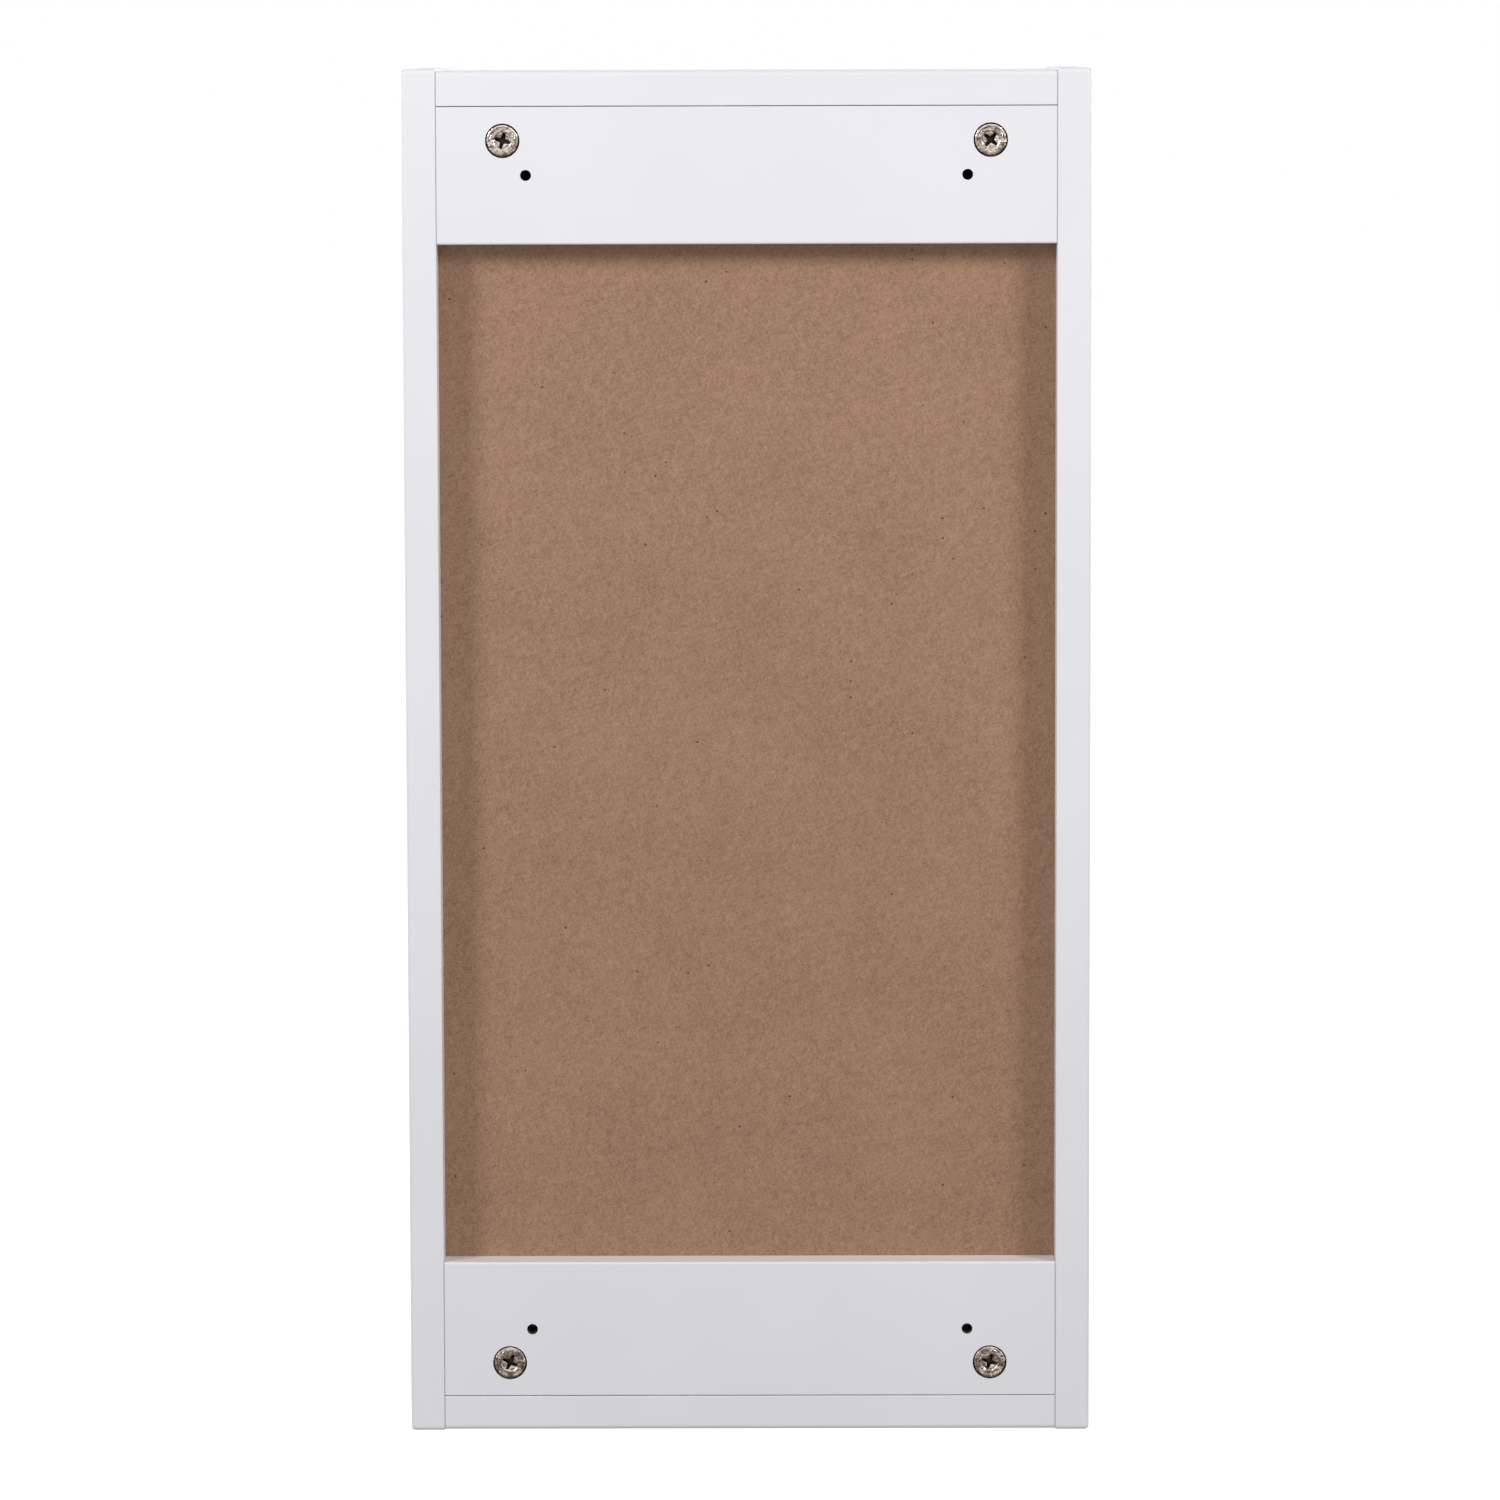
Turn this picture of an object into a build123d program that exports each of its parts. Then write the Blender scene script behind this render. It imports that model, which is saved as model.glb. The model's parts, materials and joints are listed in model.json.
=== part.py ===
from build123d import *
import os

os.makedirs("parts", exist_ok=True)

# Single door mirror cabinet of lacquered board, with a raw fibreboard back panel.
# Seen from the front, towards +Y, +X is to the right and +Z is up.
# The wall is the plane Y = 0, and the origin is the centre of the four wall screw holes.

# Carcass sizes
cabinet_width = 300.0
cabinet_height = 600.0
carcass_depth = 145.0
side_thickness = 15.0
deck_thickness = 15.0
rail_thickness = 15.0
rail_height = 60.0
rail_joint_gap = 0.3
top_setback = 1.0
bottom_setback = 0.5
edge_round = 2.0
rail_round = 1.0
arris = 0.4

# Back panel in its groove
back_thickness = 3.0
groove_depth = 5.0
groove_play = 0.2
groove_end_gap = 0.5

# Wall screw holes
wall_hole_diameter = 4.8
wall_hole_spacing = 192.0

# Cam locks and their bolts
cam_hole_diameter = 15.0
cam_hole_depth = 12.5
cam_diameter = 14.4
cam_recess = 0.3
cam_rim_width = 1.0
cam_rim_step = 0.25
cam_reach = 29.0
cam_edge_distance = 15.0
cross_length = 7.0
cross_width = 1.5
cross_depth = 3.0
bolt_drop = 7.5
cam_hook_wall = 2.3
cam_head_room = 0.4
bolt_channel_diameter = 8.0
bolt_shank_diameter = 6.0
bolt_neck_diameter = 3.6
bolt_head_diameter = 6.4
bolt_head_length = 3.6
bolt_hole_diameter = 5.0
bolt_thread_length = 11.0
bolt_hole_bottom_gap = 0.5
thread_play = 0.05
cap_overlap = 1.2
cap_thickness = 1.2
deck_cam_front_inset = 35.0
deck_cam_rear_inset = 27.0

# Wooden dowels
dowel_diameter = 8.0
dowel_play = 0.03
dowel_side_depth = 10.0
dowel_board_depth = 20.0
dowel_end_gap = 0.3
dowel_chamfer = 0.8
deck_dowel_front_inset = 15.0
deck_dowel_rear_inset = 10.0

# Shelves on pins
shelf_thickness = 12.0
shelf_end_gap = 1.0
shelf_back_gap = 1.0
shelf_front_setback = 5.0
shelf_round = 1.0
pin_hole_diameter = 5.0
pin_hole_depth = 10.0
pin_hole_pitch = 32.0
pin_head_diameter = 7.0
pin_head_length = 7.0
pin_flat_rise = 2.0
pin_front_inset = 37.0
pin_rear_inset = 20.0

# Door, mirror and knob
door_gap = 3.0
door_thickness = 18.0
door_side_reveal = 1.5
door_end_reveal = 2.0
frame_border = 46.0
pocket_depth = 7.0
pocket_corner = 2.0
pocket_edge_round = 1.0
mirror_thickness = 4.0
mirror_gap = 0.7
bevel_width = 12.0
bevel_drop = 1.2
tape_thickness = 1.0
tape_width = 20.0
tape_end_inset = 40.0
tape_count = 3
knob_inset = 23.0
knob_height = 230.0
knob_head_diameter = 28.0
knob_head_length = 12.0
knob_projection = 25.0
knob_neck_diameter = 9.0
knob_foot_diameter = 16.0
knob_foot_length = 3.0
knob_round = 1.5
knob_screw_diameter = 4.0
knob_screw_reach = 12.0
knob_screw_hole_diameter = 4.5
bumper_diameter = 8.0
bumper_inset = 7.0
bumper_end_inset = 22.0
bumper_round = 1.0
bumper_seat_gap = 0.3

# Cup hinges
hinge_inset = 92.0
cup_diameter = 34.8
cup_hole_diameter = 35.2
cup_edge_distance = 3.1
cup_depth = 12.5
cup_hole_bottom_gap = 0.3
cup_wall = 1.1
cup_floor = 0.8
flange_overlap = 0.8
flange_thickness = 0.9
wing_width = 13.0
wing_offset = 6.0
cup_screw_spacing = 48.0
pivot_depth = 9.0
pivot_edge_distance = 8.0
pivot_diameter = 2.5
pivot_play = 0.05
pivot_length = 20.0
lug_gap = 0.4
lug_length = 6.0
pivot_seat_play = 0.02
barrel_diameter = 4.6
arm_offset = 12.5
arm_thickness = 1.8
arm_neck_width = 10.0
arm_body_width = 16.0
arm_front_setback = 4.0
arm_length = 50.0
arm_wall = 1.5
plate_thickness = 2.0
plate_rail_width = 12.0
plate_rail_length = 32.0
plate_front_inset = 37.0
plate_screw_pitch = 32.0
plate_wing_width = 14.0
arm_screw_spacing = 18.0

# Screws
screw_head_diameter = 7.0
screw_head_thickness = 2.0
screw_shank_diameter = 3.5
screw_length = 10.0
screw_play = 0.05
screw_cross_length = 4.0
screw_cross_width = 0.9
pilot_bottom_gap = 0.5

# Magnetic catch
catch_offset = 62.0
catch_length = 46.0
catch_body_length = 26.0
catch_depth = 14.0
catch_height = 13.0
catch_ear_thickness = 2.5
catch_wall = 1.5
magnet_thickness = 5.0
catch_screw_spacing = 36.0
pole_thickness = 1.0
strike_length = 30.0
strike_height = 13.0
strike_thickness = 1.2
strike_gap = 0.3
strike_cross_length = 3.0

# Levels and places worked out from the sizes
half_width = cabinet_width / 2
inner_half = half_width - side_thickness
lower_hole_rise = bottom_setback + deck_thickness + rail_height / 2
upper_hole_rise = cabinet_height - top_setback - deck_thickness - rail_height / 2
base_z = -(lower_hole_rise + upper_hole_rise) / 2
roof_z = base_z + cabinet_height
floor_z = base_z + bottom_setback + deck_thickness
ceiling_z = roof_z - top_setback - deck_thickness
rail_front_y = -rail_thickness
back_front_y = rail_front_y - back_thickness
front_y = -carcass_depth
door_back_y = front_y - door_gap
door_front_y = door_back_y - door_thickness
deck_bolt_zs = (floor_z - bolt_drop, ceiling_z + bolt_drop)
rail_cam_zs = (floor_z + cam_edge_distance, ceiling_z - cam_edge_distance)
rail_dowel_zs = (floor_z + rail_height - cam_edge_distance, ceiling_z - rail_height + cam_edge_distance)
wall_hole_zs = (floor_z + rail_height / 2, ceiling_z - rail_height / 2)
deck_cam_ys = (front_y + deck_cam_front_inset, back_front_y - deck_cam_rear_inset)
deck_dowel_ys = (front_y + deck_dowel_front_inset, back_front_y - deck_dowel_rear_inset)
pin_ys = (front_y + pin_front_inset, back_front_y - pin_rear_inset)
compartment = (ceiling_z - floor_z - 2 * shelf_thickness) / 3
lower_shelf_z = floor_z + compartment
upper_shelf_z = lower_shelf_z + shelf_thickness + compartment
door_base_z = base_z + door_end_reveal
door_height = cabinet_height - 2 * door_end_reveal
door_width = cabinet_width - 2 * door_side_reveal
door_half = door_width / 2
door_mid_z = door_base_z + door_height / 2
lower_hinge_z = door_base_z + hinge_inset
upper_hinge_z = door_base_z + door_height - hinge_inset
pivot_x = -door_half + pivot_edge_distance
pivot_y = door_back_y - pivot_depth
cup_x = -door_half + cup_edge_distance + cup_diameter / 2
arm_x = pivot_x + arm_offset
plate_y = front_y + plate_front_inset
knob_x = door_half - knob_inset
knob_z = door_base_z + knob_height
catch_screw_xs = [catch_offset + half * catch_screw_spacing / 2 for half in (-1, 1)]
print("pivot", pivot_x, pivot_y, "sides from", base_z, "to", roof_z)
print("shelves", lower_shelf_z, upper_shelf_z, "hinges", lower_hinge_z, upper_hinge_z)


def side_face(hand):
    """Plane of a side panel's inner face, with its normal into the cabinet and y upwards."""
    return Plane(origin=(hand * inner_half, 0, 0), x_dir=(0, -hand, 0), z_dir=(-hand, 0, 0))


def on_side(hand, ys, zs):
    """Points on a side panel's inner face, one for each depth and height."""
    return [(-hand * y, z) for y in ys for z in zs]


def facing_wall(x, y, z):
    """Plane whose normal points to the wall, with Z upwards."""
    return Plane(origin=(x, y, z), x_dir=(-1, 0, 0), z_dir=(0, 1, 0))


def facing_front(x, y, z):
    """Plane whose normal points to the front, with Z upwards."""
    return Plane(origin=(x, y, z), x_dir=(1, 0, 0), z_dir=(0, -1, 0))


def facing_right(x, y, z):
    """Plane whose normal points to the right, with its own x axis towards the wall."""
    return Plane(origin=(x, y, z), x_dir=(0, 1, 0), z_dir=(1, 0, 0))


def save(builder, name):
    """Label the finished piece and write it under its own name."""
    builder.part.label = name
    export_step(builder.part, f"parts/{name}.step")


# Side panels, full height, with the back panel's groove and every bored hole.
shelf_pin_zs = [
    shelf_z - pin_flat_rise + step * pin_hole_pitch
    for shelf_z in (lower_shelf_z, upper_shelf_z)
    for step in (-1, 0, 1)
]
plate_screw_zs = [
    hinge_z + half * plate_screw_pitch / 2
    for hinge_z in (lower_hinge_z, upper_hinge_z)
    for half in (-1, 1)
]
groove_width = back_thickness + groove_play
groove_mid_y = rail_front_y - groove_width / 2
groove_height = ceiling_z - floor_z + 2 * groove_depth

for name, hand in (("side_panel_left", -1), ("side_panel_right", 1)):
    with BuildPart() as side_panel:
        with BuildSketch(Plane.XY.offset(base_z)):
            with Locations((hand * (half_width - side_thickness / 2), -carcass_depth / 2)):
                Rectangle(side_thickness, carcass_depth)
        extrude(amount=cabinet_height)
        outer_face = side_panel.faces().sort_by(Axis.X)[0 if hand < 0 else -1]
        corner_edges = side_panel.edges().filter_by(Axis.X)
        fillet(outer_face.edges() + corner_edges, edge_round)
        inner_face = side_panel.faces().sort_by(Axis.X)[-1 if hand < 0 else 0]
        fillet(inner_face.edges(), arris)
        with BuildSketch(side_face(hand)):
            with Locations((-hand * groove_mid_y, (floor_z + ceiling_z) / 2)):
                Rectangle(groove_width, groove_height)
        extrude(amount=-groove_depth, mode=Mode.SUBTRACT)
        with BuildSketch(side_face(hand)):
            with Locations(*on_side(hand, deck_cam_ys, deck_bolt_zs)):
                Circle(bolt_hole_diameter / 2)
            with Locations(*on_side(hand, [-bolt_drop], rail_cam_zs)):
                Circle(bolt_hole_diameter / 2)
        extrude(amount=-bolt_thread_length - bolt_hole_bottom_gap, mode=Mode.SUBTRACT)
        with BuildSketch(side_face(hand)):
            with Locations(*on_side(hand, deck_dowel_ys, deck_bolt_zs)):
                Circle(dowel_diameter / 2)
            with Locations(*on_side(hand, [-bolt_drop], rail_dowel_zs)):
                Circle(dowel_diameter / 2)
        extrude(amount=-dowel_side_depth - dowel_end_gap, mode=Mode.SUBTRACT)
        with BuildSketch(side_face(hand)):
            with Locations(*on_side(hand, pin_ys, shelf_pin_zs)):
                Circle(pin_hole_diameter / 2)
        extrude(amount=-pin_hole_depth, mode=Mode.SUBTRACT)
        if hand < 0:
            with BuildSketch(side_face(hand)):
                with Locations(*on_side(hand, [plate_y], plate_screw_zs)):
                    Circle(screw_shank_diameter / 2)
            extrude(amount=-screw_length, mode=Mode.SUBTRACT)
    save(side_panel, name)

# Top and bottom panels between the sides, with cam locks let into their inner faces.
for name, low_z, inner_z, inward in (
    ("bottom_panel", floor_z - deck_thickness, floor_z, 1),
    ("top_panel", ceiling_z, ceiling_z, -1),
):
    with BuildPart() as deck:
        with BuildSketch(Plane.XY.offset(low_z)):
            with Locations((0, -carcass_depth / 2)):
                Rectangle(2 * inner_half, carcass_depth)
        extrude(amount=deck_thickness)
        outer_face = deck.faces().sort_by(Axis.Z)[0 if inward > 0 else -1]
        inner_face = deck.faces().sort_by(Axis.Z)[-1 if inward > 0 else 0]
        fillet(outer_face.edges().filter_by(Axis.X), edge_round)
        fillet(inner_face.edges().filter_by(Axis.X), arris)
        with BuildSketch(Plane.XY.offset(inner_z)):
            with Locations((0, groove_mid_y)):
                Rectangle(2 * inner_half, groove_width)
        extrude(amount=-inward * groove_depth, mode=Mode.SUBTRACT)
        with BuildSketch(Plane.XY.offset(inner_z)):
            with Locations(*[(end * (inner_half - cam_reach), y) for end in (-1, 1) for y in deck_cam_ys]):
                Circle(cam_hole_diameter / 2)
        extrude(amount=-inward * cam_hole_depth, mode=Mode.SUBTRACT)
        for end in (-1, 1):
            bolt_z = inner_z - inward * bolt_drop
            end_plane = Plane(origin=(end * inner_half, 0, bolt_z), x_dir=(0, end, 0), z_dir=(end, 0, 0))
            with BuildSketch(end_plane):
                with Locations(*[(end * y, 0) for y in deck_cam_ys]):
                    Circle(bolt_channel_diameter / 2)
            extrude(amount=-cam_reach, mode=Mode.SUBTRACT)
            with BuildSketch(end_plane):
                with Locations(*[(end * y, 0) for y in deck_dowel_ys]):
                    Circle(dowel_diameter / 2)
            extrude(amount=-dowel_board_depth - dowel_end_gap, mode=Mode.SUBTRACT)
        if inward < 0:
            with BuildSketch(Plane.XY.offset(inner_z)):
                with Locations(*[(x, front_y + catch_depth / 2) for x in catch_screw_xs]):
                    Circle(screw_shank_diameter / 2)
            extrude(amount=screw_length - catch_ear_thickness, mode=Mode.SUBTRACT)
    save(deck, name)

# Rear rails, flush with the carcass's rear edges, that carry the cabinet on the wall screws.
# The cam locks pull them to the sides, which leaves a hairline joint at the top and bottom panels.
for name, low_z, free_end, hole_z, cam_z, dowel_z in (
    ("lower_rear_rail", floor_z + rail_joint_gap, -1, wall_hole_zs[0], rail_cam_zs[0], rail_dowel_zs[0]),
    ("upper_rear_rail", ceiling_z - rail_height, 0, wall_hole_zs[1], rail_cam_zs[1], rail_dowel_zs[1]),
):
    with BuildPart() as rail:
        with BuildSketch(Plane.XY.offset(low_z)):
            with Locations((0, -rail_thickness / 2)):
                Rectangle(2 * inner_half, rail_thickness)
        extrude(amount=rail_height - rail_joint_gap)
        rear_edges = rail.faces().sort_by(Axis.Y)[-1].edges().filter_by(Axis.X).sort_by(Axis.Z)
        fillet(rear_edges[free_end], rail_round)
        fillet(rear_edges[-1 - free_end], arris)
        with BuildSketch(facing_wall(0, 0, hole_z)):
            with GridLocations(wall_hole_spacing, 1, 2, 1):
                Circle(wall_hole_diameter / 2)
        extrude(amount=-rail_thickness, mode=Mode.SUBTRACT)
        with BuildSketch(facing_wall(0, 0, cam_z)):
            with GridLocations(2 * (inner_half - cam_reach), 1, 2, 1):
                Circle(cam_hole_diameter / 2)
        extrude(amount=-cam_hole_depth, mode=Mode.SUBTRACT)
        for end in (-1, 1):
            end_plane = Plane(origin=(end * inner_half, -bolt_drop, 0), x_dir=(0, end, 0), z_dir=(end, 0, 0))
            with BuildSketch(end_plane):
                with Locations((0, cam_z)):
                    Circle(bolt_channel_diameter / 2)
            extrude(amount=-cam_reach, mode=Mode.SUBTRACT)
            with BuildSketch(end_plane):
                with Locations((0, dowel_z)):
                    Circle(dowel_diameter / 2)
            extrude(amount=-dowel_board_depth - dowel_end_gap, mode=Mode.SUBTRACT)
    save(rail, name)

# Back panel of thin fibreboard, held in the groove all round and against the rails.
back_margin = groove_depth - groove_end_gap
with BuildPart() as back_panel:
    with BuildSketch(Plane.XY.offset(floor_z - back_margin)):
        with Locations((0, rail_front_y - back_thickness / 2)):
            Rectangle(2 * (inner_half + back_margin), back_thickness)
    extrude(amount=ceiling_z - floor_z + 2 * back_margin)
    with BuildSketch(facing_wall(0, rail_front_y, sum(wall_hole_zs) / 2)):
        with GridLocations(wall_hole_spacing, wall_hole_zs[1] - wall_hole_zs[0], 2, 2):
            Circle(wall_hole_diameter / 2)
    extrude(amount=-back_thickness, mode=Mode.SUBTRACT)
save(back_panel, "back_panel")

# One cam lock. Its outer face looks along +Z with the board's face at Z = 0, and the
# connecting bolt's head comes in from +X, below the face.
cam_radius = cam_diameter / 2
head_front = cam_radius - cam_hook_wall
head_room_radius = bolt_head_diameter / 2 + cam_head_room
with BuildPart() as cam_lock:
    with BuildSketch(Plane.XY.offset(-cam_hole_depth)):
        Circle(cam_radius)
    extrude(amount=cam_hole_depth - cam_recess)
    fillet(cam_lock.faces().sort_by(Axis.Z)[-1].edges(), cam_rim_step)
    with BuildSketch(Plane.XY.offset(-cam_recess)):
        Circle(cam_radius - cam_rim_width)
    extrude(amount=-cam_rim_step, mode=Mode.SUBTRACT)
    with BuildSketch(Plane.XY.offset(-cam_recess)):
        Rectangle(cross_length, cross_width)
        Rectangle(cross_width, cross_length)
    extrude(amount=-cross_depth, mode=Mode.SUBTRACT)
    with BuildSketch(Plane.YZ.offset(head_front)):
        with Locations((0, -bolt_drop)):
            Circle(head_room_radius)
    extrude(amount=-bolt_head_length - 2 * cam_head_room, mode=Mode.SUBTRACT)
    with BuildSketch(Plane.YZ.offset(head_front)):
        with Locations((0, -bolt_drop)):
            Circle(bolt_neck_diameter / 2 + cam_head_room)
    extrude(amount=cam_hook_wall, mode=Mode.SUBTRACT)

# One connecting bolt along +Z from the side panel's inner face at Z = 0.
bolt_head_z = cam_reach - head_front + cam_head_room
shank_end_z = cam_reach - cam_radius - cam_head_room
with BuildPart() as cam_bolt:
    with BuildSketch(Plane.XZ):
        with BuildLine():
            Polyline(
                (0, -bolt_thread_length),
                (bolt_hole_diameter / 2 - thread_play - arris, -bolt_thread_length),
                (bolt_hole_diameter / 2 - thread_play, arris - bolt_thread_length),
                (bolt_hole_diameter / 2 - thread_play, 0),
                (bolt_shank_diameter / 2, 0),
                (bolt_shank_diameter / 2, shank_end_z),
                (bolt_neck_diameter / 2, shank_end_z),
                (bolt_neck_diameter / 2, bolt_head_z),
                (bolt_head_diameter / 2, bolt_head_z),
                (bolt_head_diameter / 2, bolt_head_z + bolt_head_length - arris),
                (bolt_head_diameter / 2 - arris, bolt_head_z + bolt_head_length),
                (0, bolt_head_z + bolt_head_length),
                close=True,
            )
        make_face()
    revolve(axis=Axis.Z)

# One wooden dowel along +Z, from inside the side panel to inside the board.
with BuildPart() as dowel:
    with BuildSketch(Plane.XY.offset(-dowel_side_depth)):
        Circle(dowel_diameter / 2 - dowel_play)
    extrude(amount=dowel_side_depth + dowel_board_depth)
    chamfer(dowel.edges(), dowel_chamfer)

# Cam locks in the rails: the face looks to the wall and the bolt comes from the near side.
with BuildPart() as rail_cam_locks:
    with Locations(*[
        Plane(origin=(end * (inner_half - cam_reach), 0, z), x_dir=(end, 0, 0), z_dir=(0, 1, 0)).location
        for end in (-1, 1)
        for z in rail_cam_zs
    ]):
        add(cam_lock.part)
save(rail_cam_locks, "rail_cam_locks")

# Cam locks in the top and bottom panels: the face looks into the cabinet.
deck_cam_places = [
    Plane(origin=(end * (inner_half - cam_reach), y, inner_z), x_dir=(end, 0, 0), z_dir=(0, 0, inward))
    for end in (-1, 1)
    for y in deck_cam_ys
    for inner_z, inward in ((floor_z, 1), (ceiling_z, -1))
]
with BuildPart() as deck_cam_locks:
    with Locations(*[place.location for place in deck_cam_places]):
        add(cam_lock.part)
save(deck_cam_locks, "deck_cam_locks")

# White caps over the cam locks inside the cabinet.
with BuildPart() as cap:
    with BuildSketch():
        Circle(cam_hole_diameter / 2 + cap_overlap)
    extrude(amount=cap_thickness)
    fillet(cap.faces().sort_by(Axis.Z)[-1].edges(), cap_thickness / 2)
with BuildPart() as cam_cover_caps:
    with Locations(*[place.location for place in deck_cam_places]):
        add(cap.part)
save(cam_cover_caps, "cam_cover_caps")


def from_side(end, y, z):
    """Place at a side panel's inner face that looks along the board's length."""
    return Plane(origin=(end * inner_half, y, z), x_dir=(0, 1, 0), z_dir=(-end, 0, 0)).location


with BuildPart() as rail_cam_bolts:
    with Locations(*[from_side(end, -bolt_drop, z) for end in (-1, 1) for z in rail_cam_zs]):
        add(cam_bolt.part)
save(rail_cam_bolts, "rail_cam_bolts")

with BuildPart() as deck_cam_bolts:
    with Locations(*[from_side(end, y, z) for end in (-1, 1) for y in deck_cam_ys for z in deck_bolt_zs]):
        add(cam_bolt.part)
save(deck_cam_bolts, "deck_cam_bolts")

with BuildPart() as rail_dowels:
    with Locations(*[from_side(end, -bolt_drop, z) for end in (-1, 1) for z in rail_dowel_zs]):
        add(dowel.part)
save(rail_dowels, "rail_dowels")

with BuildPart() as deck_dowels:
    with Locations(*[from_side(end, y, z) for end in (-1, 1) for y in deck_dowel_ys for z in deck_bolt_zs]):
        add(dowel.part)
save(deck_dowels, "deck_dowels")

# Shelf pins, a stem in the side panel and a head with a flat top for the shelf.
with BuildPart() as shelf_pin:
    with BuildSketch(Plane.XY.offset(-pin_hole_depth)):
        Circle(pin_hole_diameter / 2 - thread_play)
    extrude(amount=pin_hole_depth)
    with BuildSketch():
        Circle(pin_head_diameter / 2)
        with Locations((0, pin_flat_rise + pin_head_diameter / 2)):
            Rectangle(pin_head_diameter, pin_head_diameter, mode=Mode.SUBTRACT)
    extrude(amount=pin_head_length)
with BuildPart() as shelf_pins:
    with Locations(*[
        Plane(origin=(end * inner_half, y, z), x_dir=(0, -end, 0), z_dir=(-end, 0, 0)).location
        for end in (-1, 1)
        for y in pin_ys
        for z in (lower_shelf_z - pin_flat_rise, upper_shelf_z - pin_flat_rise)
    ]):
        add(shelf_pin.part)
save(shelf_pins, "shelf_pins")

# Shelves that rest on the pins.
shelf_depth = back_front_y - shelf_back_gap - (front_y + shelf_front_setback)
for name, shelf_z in (("lower_shelf", lower_shelf_z), ("upper_shelf", upper_shelf_z)):
    with BuildPart() as shelf:
        with BuildSketch(Plane.XY.offset(shelf_z)):
            with Locations((0, front_y + shelf_front_setback + shelf_depth / 2)):
                Rectangle(2 * (inner_half - shelf_end_gap), shelf_depth)
        extrude(amount=shelf_thickness)
        fillet(shelf.edges(), shelf_round)
    save(shelf, name)

# Door of one board, with a pocket for the mirror in front and cup holes behind.
mirror_width = door_width - 2 * frame_border - 2 * mirror_gap
mirror_height = door_height - 2 * frame_border - 2 * mirror_gap
front_plane = facing_front(0, door_front_y, door_mid_z)
door_rear_plane = facing_wall(0, door_back_y, 0)
cup_hole_depth = cup_depth + cup_hole_bottom_gap
cup_screw_x = cup_x + wing_offset
cup_screw_points = [
    (-cup_screw_x, hinge_z + half * cup_screw_spacing / 2)
    for hinge_z in (lower_hinge_z, upper_hinge_z)
    for half in (-1, 1)
]
strike_z = ceiling_z - catch_height / 2
with BuildPart() as door_panel:
    with BuildSketch(front_plane):
        Rectangle(door_width, door_height)
    extrude(amount=-door_thickness)
    fillet(door_panel.edges(), edge_round)
    with BuildSketch(front_plane):
        RectangleRounded(door_width - 2 * frame_border, door_height - 2 * frame_border, pocket_corner)
    extrude(amount=-pocket_depth, mode=Mode.SUBTRACT)
    mouth = door_panel.faces().sort_by(Axis.Y)[0].inner_wires()[0]
    fillet(mouth.edges(), pocket_edge_round)
    with BuildSketch(door_rear_plane):
        with Locations((-cup_x, lower_hinge_z), (-cup_x, upper_hinge_z)):
            Circle(cup_hole_diameter / 2)
    extrude(amount=-cup_hole_depth, mode=Mode.SUBTRACT)
    with BuildSketch(door_rear_plane):
        with Locations(*cup_screw_points):
            Circle(screw_shank_diameter / 2)
        with Locations((-catch_offset, strike_z)):
            Circle(screw_shank_diameter / 2)
    extrude(amount=-screw_length, mode=Mode.SUBTRACT)
    with BuildSketch(door_rear_plane):
        with Locations((-knob_x, knob_z)):
            Circle(knob_screw_hole_diameter / 2)
    extrude(amount=-door_thickness, mode=Mode.SUBTRACT)
save(door_panel, "door_panel")

# Mirror glass with a ground bevel, on three strips of foam tape.
mirror_back_y = door_front_y + pocket_depth - tape_thickness
with BuildPart() as mirror_glass:
    with BuildSketch(facing_front(0, mirror_back_y, door_mid_z)):
        Rectangle(mirror_width, mirror_height)
    extrude(amount=mirror_thickness)
    front_face = mirror_glass.faces().sort_by(Axis.Y)[0]
    chamfer(front_face.edges(), length=bevel_width, length2=bevel_drop, reference=front_face)
save(mirror_glass, "mirror_glass")

tape_pitch = (mirror_width - 2 * tape_end_inset) / (tape_count - 1)
with BuildPart() as mirror_tape:
    with BuildSketch(facing_front(0, mirror_back_y, door_mid_z)):
        with GridLocations(tape_pitch, 1, tape_count, 1):
            Rectangle(tape_width, mirror_height - 2 * tape_end_inset)
    extrude(amount=-tape_thickness)
save(mirror_tape, "mirror_tape")

# Turned knob with a domed head, and its screw from inside the door.
head_drop = knob_projection - knob_head_length / 2
with BuildPart() as knob:
    with BuildSketch(Plane(origin=(knob_x, door_front_y, knob_z), x_dir=(1, 0, 0), z_dir=(0, 0, 1))):
        with Locations((0, -head_drop)):
            Ellipse(knob_head_diameter / 2, knob_head_length / 2)
        Rectangle(knob_neck_diameter, head_drop, align=(Align.CENTER, Align.MAX))
        Rectangle(knob_foot_diameter, knob_foot_length, align=(Align.CENTER, Align.MAX))
        with Locations((-knob_projection, 0)):
            Rectangle(2 * knob_projection, 4 * knob_projection, mode=Mode.SUBTRACT)
    revolve(axis=Axis((knob_x, door_front_y, knob_z), (0, 1, 0)))
    neck_rings = knob.edges().filter_by(GeomType.CIRCLE).filter_by(
        lambda ring: abs(ring.radius - knob_neck_diameter / 2) < knob_round / 10
    )
    fillet(neck_rings, knob_round)
    foot_ring = knob.faces().filter_by(GeomType.CYLINDER).sort_by(Axis.Y)[-1].edges().sort_by(Axis.Y)[0]
    fillet(foot_ring, knob_round / 2)
    with BuildSketch(facing_front(knob_x, door_front_y, knob_z)):
        Circle(knob_screw_diameter / 2 + screw_play)
    extrude(amount=knob_screw_reach + pilot_bottom_gap, mode=Mode.SUBTRACT)
save(knob, "knob")

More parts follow.
